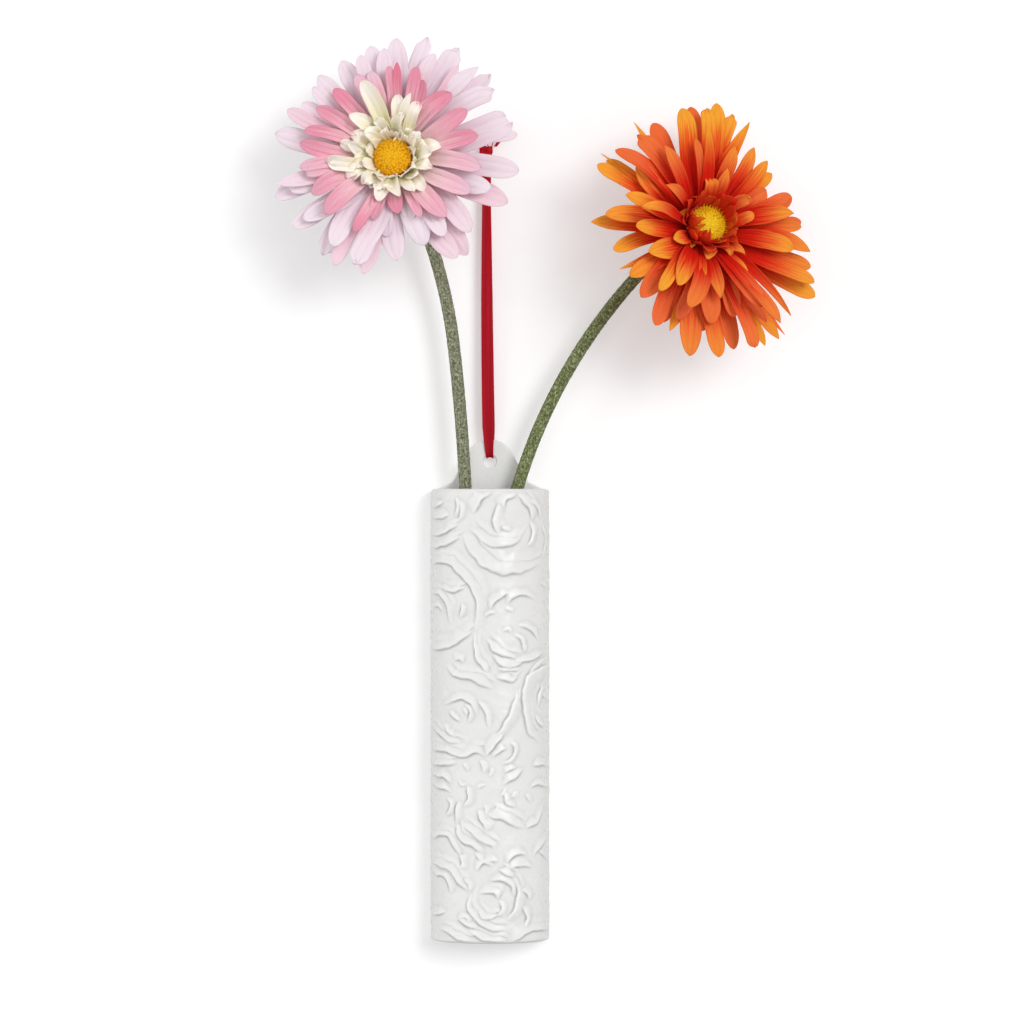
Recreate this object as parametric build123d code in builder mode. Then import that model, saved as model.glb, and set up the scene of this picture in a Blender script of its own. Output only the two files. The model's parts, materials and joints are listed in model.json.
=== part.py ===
from build123d import *
import os
from math import cos, radians, sin, tan

os.makedirs("parts", exist_ok=True)

# All lengths are in millimetres. X points right, Y into the wall, Z up.
# The origin is the top of the ribbon, where it hangs on its hook. The wall is the plane Y = 0.

# Vase: a half-round porcelain tube with a flat back, open at the top. Its bow starts a little off the wall.
vase_width = 58.6
bow_from_wall = 2.0
vase_height = 225.0
front_wall = 4.5
back_wall = 5.0
floor_thickness = 6.0
back_corner_radius = 1.6
rim_round = 1.4
base_round = 1.5
well_corner_radius = 3.0

# Hanging tab: a bell-shaped ear that rises from the back wall
tab_height = 24.8
tab_thickness = 4.0
tab_stand_off = 1.0
tab_crown_radius = 12.0
tab_flank_angle = 60.0
tab_shoulder_angle = 18.0
tab_flare_radius = 8.0
tab_edge_round = 1.0
tab_root_depth = 6.0
hole_radius = 3.2
hole_lip = 0.7
hole_below_top = 11.05

# Ribbon hanger: flat satin ribbon, looped through the tab's hole and knotted near the hook
ribbon_drop = 166.75
ribbon_width = 5.9
ribbon_thickness = 0.4
ribbon_gap = 0.3
gathered_width = 3.2
gathered_drop = 1.0
upper_width = 4.2
full_width_above_tab = 6.0
narrowing_below_knot = 70.0
strand_gap_at_knot = 1.4
hook_radius = 2.5
hook_loop_height = 9.5
knot_width = 7.6
knot_height = 4.4
knot_depth = 5.6
knot_corner_radius = 1.2
knot_bevel = 0.8
tail_length = 13.0
tail_angle = 32.0
tail_start = 1.9

# Stems: flocked plastic tube over a steel wire, standing on the vase's floor
stem_diameter = 6.0
wire_diameter = 3.0
wire_clearance = 0.05
stem_from_wall = 14.0
foot_clearance = 0.3
neck_radius = 18.0
wire_tip_length = 6.3
turning_gap = 0.3

pink_foot_x = -10.8
pink_bend_depth = 54.5
pink_lower_radius = 1104.0
pink_lower_lean_angle = -6.5
pink_upper_radius = 250.0
pink_upper_lean_angle = -24.0
pink_face_side_angle = -5.8
pink_face_up_angle = 8.0

orange_foot_x = 2.8
orange_bend_depth = 75.3
orange_lower_radius = 268.0
orange_lower_lean_angle = 42.0
orange_upper_radius = 70.0
orange_upper_lean_angle = 58.0
orange_face_side_angle = 18.6
orange_face_up_angle = 12.0

# Flower heads: petal layers threaded on the calyx's spigot and held by the disc
calyx_radius = 10.5
calyx_length = 12.0
calyx_collar = 0.8
spigot_radius = 2.0
spigot_clearance = 0.1
spigot_into_disc = 3.0
hub_radius = 9.6
hub_thickness = 1.2
petal_thickness = 0.6
pink_head_radius = 60.0
orange_head_radius = 63.0
disc_radius = 9.2
disc_height = 5.5
disc_edge = 1.6

# One overrun serves every cut
overrun = 5.0

# Petal layers from the back to the front: reach and width as shares of the head's radius,
# the angle at which a layer rises from its hub to its tips, and the number of petals
layer_names = ("petals_back", "petals_outer", "petals_middle", "petals_inner", "florets")
pink_reach_shares = (1.0, 0.95, 0.74, 0.47, 0.30)
pink_width_shares = (0.205, 0.205, 0.165, 0.13, 0.085)
pink_rise_angles = (6.0, 12.0, 21.0, 34.0, 50.0)
pink_petal_counts = (18, 18, 16, 12, 10)
orange_reach_shares = (1.0, 0.93, 0.76, 0.55, 0.33)
orange_width_shares = (0.17, 0.17, 0.155, 0.135, 0.09)
orange_rise_angles = (4.0, 14.0, 27.0, 41.0, 54.0)
orange_petal_counts = (20, 18, 16, 12, 10)

# A petal's outline along its reach: where it leaves the hub, where it is widest, how wide its tip is,
# how long the tip's rounding is and where its corners lie
base_reach_share = 0.08
base_width_share = 0.55
widest_reach_share = 0.62
tip_roundness_share = 0.95
tip_corner_reach_share = 0.27
tip_corner_width_share = 0.64
pink_tip_width_share = 0.74
orange_tip_width_share = 0.48
belly_reach_share = 0.45
belly_rise_share = 0.62

# Heights and planes that several pieces share
hole_z = -ribbon_drop
tab_top_z = hole_z + hole_below_top
rim_z = tab_top_z - tab_height
base_z = rim_z - vase_height
floor_z = base_z + floor_thickness
half_width = vase_width / 2
bow_centre_y = -bow_from_wall
vase_depth = bow_from_wall + half_width
knot_top_z = -hook_loop_height
knot_bottom_z = knot_top_z - knot_height
tab_back_y = -tab_stand_off
tab_front_y = tab_back_y - tab_thickness
tab_middle_y = (tab_back_y + tab_front_y) / 2
up = Vector(0, 0, 1)


def save(part, label):
    part.label = label
    export_step(part, "parts/" + label + ".step")


def make_vase():
    """The porcelain tube, its well and its tab, fired as one piece."""
    with BuildPart() as vase:
        with BuildSketch(Plane.XY.offset(base_z)) as footprint:
            with BuildLine():
                Line((half_width, bow_centre_y), (half_width, 0))
                Line((half_width, 0), (-half_width, 0))
                Line((-half_width, 0), (-half_width, bow_centre_y))
                ThreePointArc((-half_width, bow_centre_y), (0, -vase_depth), (half_width, bow_centre_y))
            make_face()
            fillet(footprint.vertices().group_by(Axis.Y)[-1], radius=back_corner_radius)
        extrude(amount=vase_height)
        fillet(vase.faces().sort_by(Axis.Z)[0].edges(), radius=base_round)

        well_radius = half_width - front_wall
        well_half_width = (well_radius**2 - (back_wall + bow_centre_y) ** 2) ** 0.5
        with BuildSketch(Plane.XY.offset(floor_z)) as well:
            with BuildLine():
                Line((well_half_width, -back_wall), (-well_half_width, -back_wall))
                ThreePointArc(
                    (-well_half_width, -back_wall),
                    (0, bow_centre_y - well_radius),
                    (well_half_width, -back_wall),
                )
            make_face()
            fillet(well.vertices(), radius=well_corner_radius)
        extrude(amount=rim_z - floor_z + overrun, mode=Mode.SUBTRACT)
        fillet(vase.faces().sort_by(Axis.Z)[-1].edges(), radius=rim_round)
        add(make_tab())
    save(vase.part, "vase_body")


def make_tab():
    """The bell-shaped ear: round crown, straight flanks, a flare into two sloping shoulders."""
    flank = radians(tab_flank_angle)
    crown_z = tab_top_z - tab_crown_radius
    crown_end = (tab_crown_radius * sin(flank), crown_z + tab_crown_radius * cos(flank))
    shoulder_slope = tan(radians(tab_shoulder_angle))
    flank_slope = tan(flank)
    knee_rise = (half_width - crown_end[0] - (crown_end[1] - rim_z) / flank_slope) / (
        1 / shoulder_slope - 1 / flank_slope
    )
    knee = (half_width - knee_rise / shoulder_slope, rim_z + knee_rise)
    tab_foot_z = rim_z - tab_root_depth
    with BuildPart() as tab:
        with BuildSketch(Plane.XZ.offset(-tab_back_y)) as outline:
            with BuildLine():
                CenterArc((0, crown_z), tab_crown_radius, 90 - tab_flank_angle, 2 * tab_flank_angle)
                Polyline(
                    crown_end,
                    knee,
                    (half_width - tab_edge_round, rim_z - tab_edge_round),
                    (half_width - tab_edge_round, tab_foot_z),
                    (tab_edge_round - half_width, tab_foot_z),
                    (tab_edge_round - half_width, rim_z - tab_edge_round),
                    (-knee[0], knee[1]),
                    (-crown_end[0], crown_end[1]),
                )
            make_face()
            knees = outline.vertices().filter_by(lambda v: abs(v.Z - knee[1]) < tab_edge_round / 2)
            fillet(knees, radius=tab_flare_radius)
        extrude(amount=tab_thickness)
        outer_edges = tab.edges().filter_by(lambda e: e.center().Z > rim_z)
        fillet(outer_edges.filter_by(Plane.XZ), radius=tab_edge_round)
        with BuildSketch(Plane.XZ.offset(-tab_back_y)):
            with Locations((0, hole_z)):
                Circle(hole_radius)
        extrude(amount=tab_thickness, mode=Mode.SUBTRACT)
        hole_edges = tab.edges().filter_by(GeomType.CIRCLE)
        fillet(hole_edges.filter_by(lambda e: abs(e.radius - hole_radius) < hole_lip / 2), radius=hole_lip)
    return tab.part


def strand_outline():
    """The hanger's front view: gathered in the hole, full width above the tab, narrower near the knot."""
    full_z = tab_top_z + full_width_above_tab
    narrowing_z = knot_bottom_z - narrowing_below_knot
    return [
        (gathered_width / 2, hole_z - overrun),
        (gathered_width / 2, hole_z + hole_radius),
        (ribbon_width / 2, full_z),
        (ribbon_width / 2, narrowing_z),
        (upper_width / 2, knot_bottom_z),
    ]


def mirrored(points):
    """A right-hand outline from bottom to top, closed by its own mirror image."""
    return points + [(-x, z) for x, z in reversed(points)]


def make_hanger():
    """Two strands that hang from the knot and turn through the hole, under the web above it."""
    reach = ribbon_gap + ribbon_thickness / 2
    turn = hole_lip + reach
    front_y = tab_front_y - reach
    back_y = tab_back_y + reach
    turn_z = hole_z + hole_radius - gathered_drop + turn
    clear_z = tab_top_z + full_width_above_tab
    knot_front_y = tab_middle_y - strand_gap_at_knot / 2
    knot_back_y = tab_middle_y + strand_gap_at_knot / 2
    with BuildPart() as hanger:
        with BuildSketch(Plane.YZ.offset(-ribbon_width)):
            with BuildLine():
                route = [
                    (knot_front_y, knot_bottom_z),
                    (front_y, clear_z),
                    (front_y, turn_z - turn),
                    (back_y, turn_z - turn),
                    (back_y, clear_z),
                    (knot_back_y, knot_bottom_z),
                ]
                FilletPolyline(*route[1:5], radius=turn)
                Line(route[0], route[1])
                Line(route[4], route[5])
            trace(line_width=ribbon_thickness)
        extrude(amount=2 * ribbon_width)
        with BuildSketch(Plane.XZ.offset(-overrun)):
            Polygon(*mirrored(strand_outline()), align=None)
        extrude(amount=2 * overrun + vase_depth, mode=Mode.INTERSECT)
        with BuildSketch(Plane.XY.offset(knot_bottom_z)):
            Rectangle(2 * ribbon_width, 2 * vase_depth)
        extrude(amount=overrun, mode=Mode.SUBTRACT)
    save(hanger.part, "ribbon_hanger")


def make_hook_loop():
    """The small loop above the knot, a band that goes over the hook."""
    hook_z = -hook_radius - ribbon_thickness
    outer_radius = hook_radius + ribbon_thickness
    knot_side = strand_gap_at_knot / 2
    with BuildPart() as loop:
        with BuildSketch(Plane.XZ.offset(-tab_middle_y - upper_width / 2)) as band:
            with BuildLine():
                ThreePointArc((-outer_radius, hook_z), (0, 0), (outer_radius, hook_z))
                Polyline(
                    (outer_radius, hook_z),
                    (knot_side + ribbon_thickness, knot_top_z),
                    (-knot_side - ribbon_thickness, knot_top_z),
                    (-outer_radius, hook_z),
                )
            make_face()
            with BuildLine():
                ThreePointArc(
                    (-hook_radius, hook_z), (0, hook_z + hook_radius), (hook_radius, hook_z)
                )
                Polyline(
                    (hook_radius, hook_z),
                    (knot_side, knot_top_z),
                    (-knot_side, knot_top_z),
                    (-hook_radius, hook_z),
                )
            make_face(mode=Mode.SUBTRACT)
        extrude(amount=upper_width)
    save(loop.part, "ribbon_hook_loop")


def make_knot():
    """The knot, a block with rounded corners and bevelled faces, flat where the strands enter it."""
    with BuildPart() as knot:
        with BuildSketch(Plane.XZ.offset(-tab_middle_y)):
            with Locations((0, (knot_top_z + knot_bottom_z) / 2)):
                RectangleRounded(knot_width, knot_height, knot_corner_radius)
        extrude(amount=knot_depth / 2, both=True)
        faces = knot.faces().filter_by(Axis.Y)
        chamfer(faces.edges(), length=knot_bevel)
    save(knot.part, "ribbon_knot")


def make_tails():
    """The ribbon's two short ends, which stand out of the knot to the left and right."""
    lean = radians(tail_angle)
    tip_x = tail_length * sin(lean)
    tip_z = knot_top_z + tail_length * cos(lean)
    with BuildPart() as tails:
        with BuildSketch(Plane.XZ.offset(-tab_middle_y - ribbon_thickness / 2)):
            with BuildLine():
                Polyline(
                    (tail_start, knot_top_z),
                    (knot_width / 2 - ribbon_gap, knot_top_z),
                    (knot_width / 2 + tip_x, tip_z - upper_width / 2),
                    (tail_start + tip_x, tip_z),
                    close=True,
                )
            make_face()
            mirror(about=Plane.YZ)
        extrude(amount=ribbon_thickness)
    save(tails.part, "ribbon_tails")


def bend_end(start, heading, next_heading, radius):
    """Where an arc of this radius ends when it turns from one heading to the next."""
    half_turn = radians(heading.get_angle(next_heading)) / 2
    return start + (heading + next_heading) * (radius * tan(half_turn))


def leaning(angle):
    """A heading parallel to the wall, this many degrees to the right of straight up."""
    return Vector(sin(radians(angle)), 0, cos(radians(angle)))


def facing(side, rise):
    """A heading out of the wall, turned by these degrees to the right and upwards."""
    side, rise = radians(side), radians(rise)
    return Vector(sin(side) * cos(rise), -cos(side) * cos(rise), sin(rise))


def make_flower(colour, foot_x, bend_depth, bends, face, head_radius, layers, tip_width_share):
    """One flower: its wire, its tube, its calyx, its petal layers and its disc."""
    foot = Vector(foot_x, -stem_from_wall, floor_z + foot_clearance)
    route = [(up, Vector(foot_x, -stem_from_wall, rim_z - bend_depth))]
    for radius, heading in bends + [(neck_radius, face)]:
        last_heading, last_point = route[-1]
        route.append((heading, bend_end(last_point, last_heading, heading, radius)))
    neck = route[-1][1]
    print(colour, "head is carried at", [round(value, 4) for value in neck])
    head = Plane(origin=neck, x_dir=up.cross(face), z_dir=face)
    make_stem(colour, foot, route)
    make_calyx(colour, head)
    stack_height = calyx_length
    for name, reach_share, width_share, rise_angle, count in layers:
        half_pitch_turn = layer_names.index(name) * 180 / count
        petal = make_petal(
            reach_share * head_radius, width_share * head_radius / 2, rise_angle, tip_width_share
        )
        make_petals(colour + "_" + name, head.offset(stack_height), petal, count, half_pitch_turn)
        stack_height += hub_thickness
    make_disc(colour, head.offset(stack_height))


def make_stem(colour, foot, route):
    """The steel wire with its bare tip, and the flocked tube round it."""
    for name, outer_diameter, bore_diameter, tip in (
        ("stem_wire", wire_diameter, 0, wire_tip_length),
        ("stem", stem_diameter, wire_diameter + 2 * wire_clearance, 0),
    ):
        with BuildPart() as piece:
            with BuildLine() as path:
                Line(foot, route[0][1])
                for (heading, start), (next_heading, end) in zip(route, route[1:]):
                    TangentArc(start, end, tangent=heading)
                if tip:
                    Line(route[-1][1], route[-1][1] + route[-1][0] * tip)
            with BuildSketch(Plane(origin=foot, z_dir=up)):
                Circle(outer_diameter / 2)
                if bore_diameter:
                    Circle(bore_diameter / 2, mode=Mode.SUBTRACT)
            sweep(path=path.wire())
        save(piece.part, colour + "_" + name)


def side_view(plane):
    """The plane through a head's axis in which its turned pieces are drawn: radius across, height up."""
    return Plane(origin=plane.origin, x_dir=plane.x_dir, z_dir=-plane.y_dir)


def make_calyx(colour, head):
    """The moulded cup behind the petals, with a socket for the wire and a spigot for the layers."""
    socket_radius = wire_diameter / 2 + wire_clearance
    spigot_top = calyx_length + len(layer_names) * hub_thickness + spigot_into_disc
    collar_radius = stem_diameter / 2 + calyx_collar
    with BuildPart() as calyx:
        with BuildSketch(side_view(head)):
            with BuildLine():
                Polyline(
                    (0, wire_tip_length + turning_gap),
                    (socket_radius, wire_tip_length + turning_gap),
                    (socket_radius, turning_gap),
                    (collar_radius, turning_gap),
                    (collar_radius, 2 * calyx_collar),
                    ((collar_radius + calyx_radius) / 2 + calyx_collar, calyx_length / 2),
                    (calyx_radius, calyx_length - calyx_collar),
                    (calyx_radius - calyx_collar, calyx_length),
                    (spigot_radius, calyx_length),
                    (spigot_radius, spigot_top),
                    (0, spigot_top),
                    (0, wire_tip_length + turning_gap),
                )
            make_face()
        revolve(axis=Axis(head.origin, head.z_dir))
    save(calyx.part, colour + "_calyx")


def make_petal(reach, half_width, rise_angle, tip_width_share):
    """One petal on the XY plane: a strip creased at the hub and at its belly, cut to the outline."""
    rise = (reach - hub_radius) * sin(radians(rise_angle))
    spread = hub_radius + (reach - hub_radius) * cos(radians(rise_angle))
    belly_radius = hub_radius + (spread - hub_radius) * belly_reach_share
    belly = rise * belly_rise_share
    tip_slope = (rise - belly) / (spread - belly_radius)
    crease_line = [
        (spigot_radius + petal_thickness, 0),
        (hub_radius, 0),
        (belly_radius, belly),
        (spread + petal_thickness, rise + tip_slope * petal_thickness),
    ]
    tip_half_width = half_width * tip_width_share
    tip_length = tip_half_width * tip_roundness_share
    outline = [
        (spread * base_reach_share, half_width * base_width_share),
        (spread * widest_reach_share, half_width),
        (spread - tip_length, tip_half_width),
        (spread - tip_length * tip_corner_reach_share, tip_half_width * tip_corner_width_share),
        (spread, 0),
    ]
    with BuildPart() as petal:
        with BuildSketch(Plane.XZ):
            Polygon(*crease_line, *[(x, z + petal_thickness) for x, z in reversed(crease_line)], align=None)
        extrude(amount=half_width, both=True)
        with BuildSketch(Plane.XY):
            Polygon(*outline, *[(x, -y) for x, y in reversed(outline[:-1])], align=None)
        extrude(amount=rise + 2 * petal_thickness, mode=Mode.INTERSECT)
    return petal.part


def make_petals(name, seat, petal, count, turn):
    """One die-cut layer: equal petals in a ring round a flat hub, which is threaded on the spigot."""
    with BuildPart(seat) as layer:
        with PolarLocations(0, count, start_angle=turn):
            add(petal)
        with BuildSketch(seat):
            Circle(hub_radius)
        extrude(amount=hub_thickness)
        with BuildSketch(seat):
            Circle(spigot_radius + spigot_clearance)
        extrude(amount=hub_thickness, mode=Mode.SUBTRACT)
    save(layer.part, name)


def make_disc(colour, seat):
    """The domed button that is pressed on the spigot in front of the petals."""
    hole = spigot_radius + spigot_clearance
    hole_top = spigot_into_disc + spigot_clearance
    dome = disc_height - disc_edge
    dome_radius = (disc_radius**2 + dome**2) / (2 * dome)
    halfway = (disc_radius / 2, disc_height - dome_radius + (dome_radius**2 - disc_radius**2 / 4) ** 0.5)
    with BuildPart() as disc:
        with BuildSketch(side_view(seat)):
            with BuildLine():
                Polyline(
                    (0, disc_height),
                    (0, hole_top),
                    (hole, hole_top),
                    (hole, 0),
                    (disc_radius, 0),
                    (disc_radius, disc_edge),
                )
                ThreePointArc((disc_radius, disc_edge), halfway, (0, disc_height))
            make_face()
        revolve(axis=Axis(seat.origin, seat.z_dir))
    save(disc.part, colour + "_disc")


make_vase()
make_hanger()
make_hook_loop()
make_knot()
make_tails()
make_flower(
    "pink",
    pink_foot_x,
    pink_bend_depth,
    [
        (pink_lower_radius, leaning(pink_lower_lean_angle)),
        (pink_upper_radius, leaning(pink_upper_lean_angle)),
    ],
    facing(pink_face_side_angle, pink_face_up_angle),
    pink_head_radius,
    list(zip(layer_names, pink_reach_shares, pink_width_shares, pink_rise_angles, pink_petal_counts)),
    pink_tip_width_share,
)
make_flower(
    "orange",
    orange_foot_x,
    orange_bend_depth,
    [
        (orange_lower_radius, leaning(orange_lower_lean_angle)),
        (orange_upper_radius, leaning(orange_upper_lean_angle)),
    ],
    facing(orange_face_side_angle, orange_face_up_angle),
    orange_head_radius,
    list(zip(layer_names, orange_reach_shares, orange_width_shares, orange_rise_angles, orange_petal_counts)),
    orange_tip_width_share,
)
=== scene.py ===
import json
import math
from collections import namedtuple

import bpy
import numpy as np
from bpy.props import FloatProperty, FloatVectorProperty, IntProperty, PointerProperty
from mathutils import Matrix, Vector


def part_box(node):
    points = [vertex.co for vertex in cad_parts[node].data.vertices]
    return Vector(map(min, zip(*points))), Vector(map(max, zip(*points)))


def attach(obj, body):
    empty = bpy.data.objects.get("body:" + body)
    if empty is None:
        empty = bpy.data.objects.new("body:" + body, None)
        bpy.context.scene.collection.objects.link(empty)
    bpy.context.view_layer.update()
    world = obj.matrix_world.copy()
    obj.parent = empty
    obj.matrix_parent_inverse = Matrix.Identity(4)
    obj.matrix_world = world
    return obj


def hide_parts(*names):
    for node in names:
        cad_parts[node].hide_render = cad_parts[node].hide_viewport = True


bl_info = {
    "name": "Rose wall vase",
    "version": (1, 0, 0),
    "blender": (4, 5, 0),
    "location": "View3D > Sidebar > Vase",
    "description": "Dresses a porcelain wall vase, its ribbon and its two flowers",
    "category": "Object",
}

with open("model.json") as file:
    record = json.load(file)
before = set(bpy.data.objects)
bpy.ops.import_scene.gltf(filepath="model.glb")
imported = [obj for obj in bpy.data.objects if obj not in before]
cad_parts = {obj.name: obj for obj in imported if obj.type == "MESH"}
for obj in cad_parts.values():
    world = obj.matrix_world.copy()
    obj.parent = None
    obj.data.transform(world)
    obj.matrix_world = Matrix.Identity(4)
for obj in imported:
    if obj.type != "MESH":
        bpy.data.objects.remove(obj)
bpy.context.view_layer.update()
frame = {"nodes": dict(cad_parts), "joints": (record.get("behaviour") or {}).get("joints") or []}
joints = {joint["name"]: joint for joint in frame["joints"]}
MM = 0.001
GOLDEN_ANGLE = math.pi * (3 - math.sqrt(5))

# The photo: its camera, and the place of a pixel in the frame
CAMERA = Vector((0.011, -2.6, -0.192))
PIXEL = 0.5 * MM
PICTURE = 1024


def pixel_ray(column, row):
    """The direction from the camera to the point of the wall that a pixel of the photo shows."""
    across = (column - PICTURE / 2) * PIXEL
    upwards = (PICTURE / 2 - row) * PIXEL
    return Vector((across, -CAMERA.y, upwards))


class VaseSettings(bpy.types.PropertyGroup):
    relief_height: FloatProperty(
        name="Relief height",
        description="How far the rose petals stand out",
        default=1.15 * MM,
        unit="LENGTH",
    )
    relief_columns: IntProperty(name="Columns", description="Faces across the relief", default=184, min=20)
    relief_rows: IntProperty(name="Rows", description="Faces up the relief", default=474, min=20)
    glaze: FloatVectorProperty(
        name="Glaze", description="Colour of the glaze", default=(0.79, 0.79, 0.775), size=3, subtype="COLOR"
    )


class RibbonSettings(bpy.types.PropertyGroup):
    width: FloatProperty(name="Width", description="Width of the ribbon", default=5.9 * MM, unit="LENGTH")
    gathered_width: FloatProperty(
        name="Gathered width", description="Width in the tab's hole", default=3.4 * MM, unit="LENGTH"
    )
    knot_width: FloatProperty(
        name="Width at the knot",
        description="Width where the ribbon enters the knot",
        default=4.2 * MM,
        unit="LENGTH",
    )
    thickness: FloatProperty(
        name="Thickness", description="Thickness of the ribbon", default=0.35 * MM, unit="LENGTH"
    )
    satin: FloatVectorProperty(
        name="Satin",
        description="Colour of the ribbon",
        default=(0.42, 0.004, 0.014),
        size=3,
        subtype="COLOR",
    )


class FlowerSettings(bpy.types.PropertyGroup):
    stem_diameter: FloatProperty(
        name="Stem", description="Diameter of the flocked stems", default=6 * MM, unit="LENGTH"
    )
    flock_depth: FloatProperty(
        name="Flock", description="Depth of the flock", default=0.22 * MM, unit="LENGTH"
    )
    petal_thickness: FloatProperty(
        name="Petal thickness", description="Thickness of the fabric", default=0.3 * MM, unit="LENGTH"
    )
    seed: IntProperty(name="Seed", description="Picks the petals' small differences", default=7)


class StageSettings(bpy.types.PropertyGroup):
    key_light: FloatProperty(name="Key light", description="Strength of the key light", default=1.35)
    room_light: FloatProperty(name="Room light", description="Strength of the even light", default=0.44)


def clear_selection():
    bpy.ops.object.select_all(action="DESELECT")


def select_only(*objects):
    clear_selection()
    for each in objects:
        each.select_set(True)
    bpy.context.view_layer.objects.active = objects[0]


def points_of(piece):
    values = np.empty(len(piece.data.vertices) * 3)
    piece.data.vertices.foreach_get("co", values)
    return values.reshape(-1, 3)


def move_points(piece, points):
    piece.data.vertices.foreach_set("co", np.asarray(points, dtype=float).ravel())
    piece.data.update()


def apply_modifier(piece, kind, **settings):
    """Add one modifier with these settings and apply it."""
    select_only(piece)
    modifier = piece.modifiers.new("shape", kind)
    for key, value in settings.items():
        setattr(modifier, key, value)
    bpy.ops.object.modifier_apply(modifier=modifier.name)


def face_outwards(piece, close_ends=False):
    """Turn the faces outwards, once the seam is merged and the ends are filled where that is asked."""
    select_only(piece)
    bpy.ops.object.mode_set(mode="EDIT")
    bpy.ops.mesh.select_all(action="SELECT")
    if close_ends:
        bpy.ops.mesh.remove_doubles(threshold=0.001 * MM)
        bpy.ops.mesh.fill_holes(sides=0)
        bpy.ops.mesh.select_all(action="SELECT")
    bpy.ops.mesh.normals_make_consistent(inside=False)
    bpy.ops.object.mode_set(mode="OBJECT")


def copy_of(model):
    """A copy of the model, with a mesh of its own."""
    copy = model.copy()
    copy.data = model.data.copy()
    bpy.context.scene.collection.objects.link(copy)
    return copy


def joined(model, copies):
    """The model's copies as one piece, without the model itself."""
    bpy.data.objects.remove(model)
    select_only(*copies)
    bpy.ops.object.join()
    return bpy.context.object


def finish_piece(piece, name, body, material, replaced=()):
    """Name the piece, give it its material and make it ride on its body."""
    piece.name = name
    piece.data.name = name
    piece.data.materials.clear()
    piece.data.materials.append(material)
    select_only(piece)
    bpy.ops.object.shade_smooth()
    clear_selection()
    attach(piece, body)
    if replaced:
        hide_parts(*replaced)
    return piece


def dress_node(name, material):
    """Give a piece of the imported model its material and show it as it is."""
    node = frame["nodes"][name]
    node.data.materials.clear()
    node.data.materials.append(material)
    return node


def grid_piece(columns, rows):
    """A flat grid from -1 to 1 both ways, whose points code then bends into shape."""
    clear_selection()
    bpy.ops.mesh.primitive_grid_add(x_subdivisions=columns, y_subdivisions=rows, size=2)
    return bpy.context.object


def set_attribute(piece, name, values):
    """One number for each point, which a material reads by this name."""
    attribute = piece.data.attributes.get(name) or piece.data.attributes.new(name, "FLOAT", "POINT")
    attribute.data.foreach_set("value", np.asarray(values, dtype=float))


def headings_of(spots):
    """The direction in which a line runs at each of its points."""
    heading = np.gradient(spots, axis=0)
    return heading / np.linalg.norm(heading, axis=1)[:, None]


def smooth_step(low, high, value):
    """From 0 at low to 1 at high, with no corner at either."""
    share = np.clip((value - low) / (high - low), 0, 1)
    return share * share * (3 - 2 * share)


def linear(red, green, blue):
    """A colour given in screen values from 0 to 255, as the renderer takes it."""
    return tuple(((value / 255 + 0.055) / 1.055) ** 2.4 for value in (red, green, blue)) + (1.0,)


def tinted(colour, share=1.0):
    """The colour at this share of its brightness, with its alpha."""
    return tuple(share * part for part in colour) + (1.0,)


class Nodes:
    """A node tree, and short calls that add and link its nodes."""

    def __init__(self, tree):
        self.tree = tree

    def add(self, kind, inputs=None, **settings):
        node = self.tree.nodes.new(kind)
        for key, value in settings.items():
            setattr(node, key, value)
        for key, value in (inputs or {}).items():
            if isinstance(value, bpy.types.NodeSocket):
                self.tree.links.new(value, node.inputs[key])
            else:
                node.inputs[key].default_value = value
        return node

    def coordinates(self):
        return self.add("ShaderNodeTexCoord").outputs["Object"]

    def stretched(self, vector, scale):
        return self.add("ShaderNodeMapping", {"Vector": vector, "Scale": scale}).outputs[0]

    def noise(self, vector, scale, detail=2.0, roughness=0.5):
        node = self.add(
            "ShaderNodeTexNoise", {"Vector": vector, "Scale": scale, "Detail": detail, "Roughness": roughness}
        )
        return node.outputs["Fac"]

    def attribute(self, name):
        return self.add("ShaderNodeAttribute", attribute_name=name).outputs["Fac"]

    def math(self, operation, first, second=0.0):
        return self.add("ShaderNodeMath", {0: first, 1: second}, operation=operation).outputs[0]

    def ramp(self, value, *stops):
        node = self.add("ShaderNodeValToRGB", {"Fac": value})
        elements = node.color_ramp.elements
        while len(elements) < len(stops):
            elements.new(1.0)
        for element, (place, colour) in zip(elements, stops):
            element.position = place
            element.color = colour
        return node.outputs["Color"]

    def grey(self, value, low, high, dark=0.0, bright=1.0):
        """The value, spread from dark to bright between low and high."""
        node = self.add(
            "ShaderNodeMapRange",
            {"Value": value, "From Min": low, "From Max": high, "To Min": dark, "To Max": bright},
        )
        return node.outputs["Result"]

    def mix(self, share, first, second, blend_type="MIX"):
        inputs = {0: share, 6: first, 7: second}
        return self.add("ShaderNodeMix", inputs, data_type="RGBA", blend_type=blend_type).outputs[2]

    def bump(self, height, distance, strength, under=None):
        inputs = {"Height": height, "Distance": distance, "Strength": strength}
        if under is not None:
            inputs["Normal"] = under
        return self.add("ShaderNodeBump", inputs).outputs["Normal"]


class Shade(Nodes):
    """A material with one principled shader, whose sockets the nodes feed."""

    def __init__(self, name, roughness, **sockets):
        self.material = bpy.data.materials.new(name)
        self.material.use_nodes = True
        super().__init__(self.material.node_tree)
        self.shader = self.tree.nodes["Principled BSDF"]
        self.shader.inputs["Roughness"].default_value = roughness
        for socket, value in sockets.items():
            self.shader.inputs[socket.replace("_", " ")].default_value = value

    def link(self, source, socket):
        self.tree.links.new(source, self.shader.inputs[socket])


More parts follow.
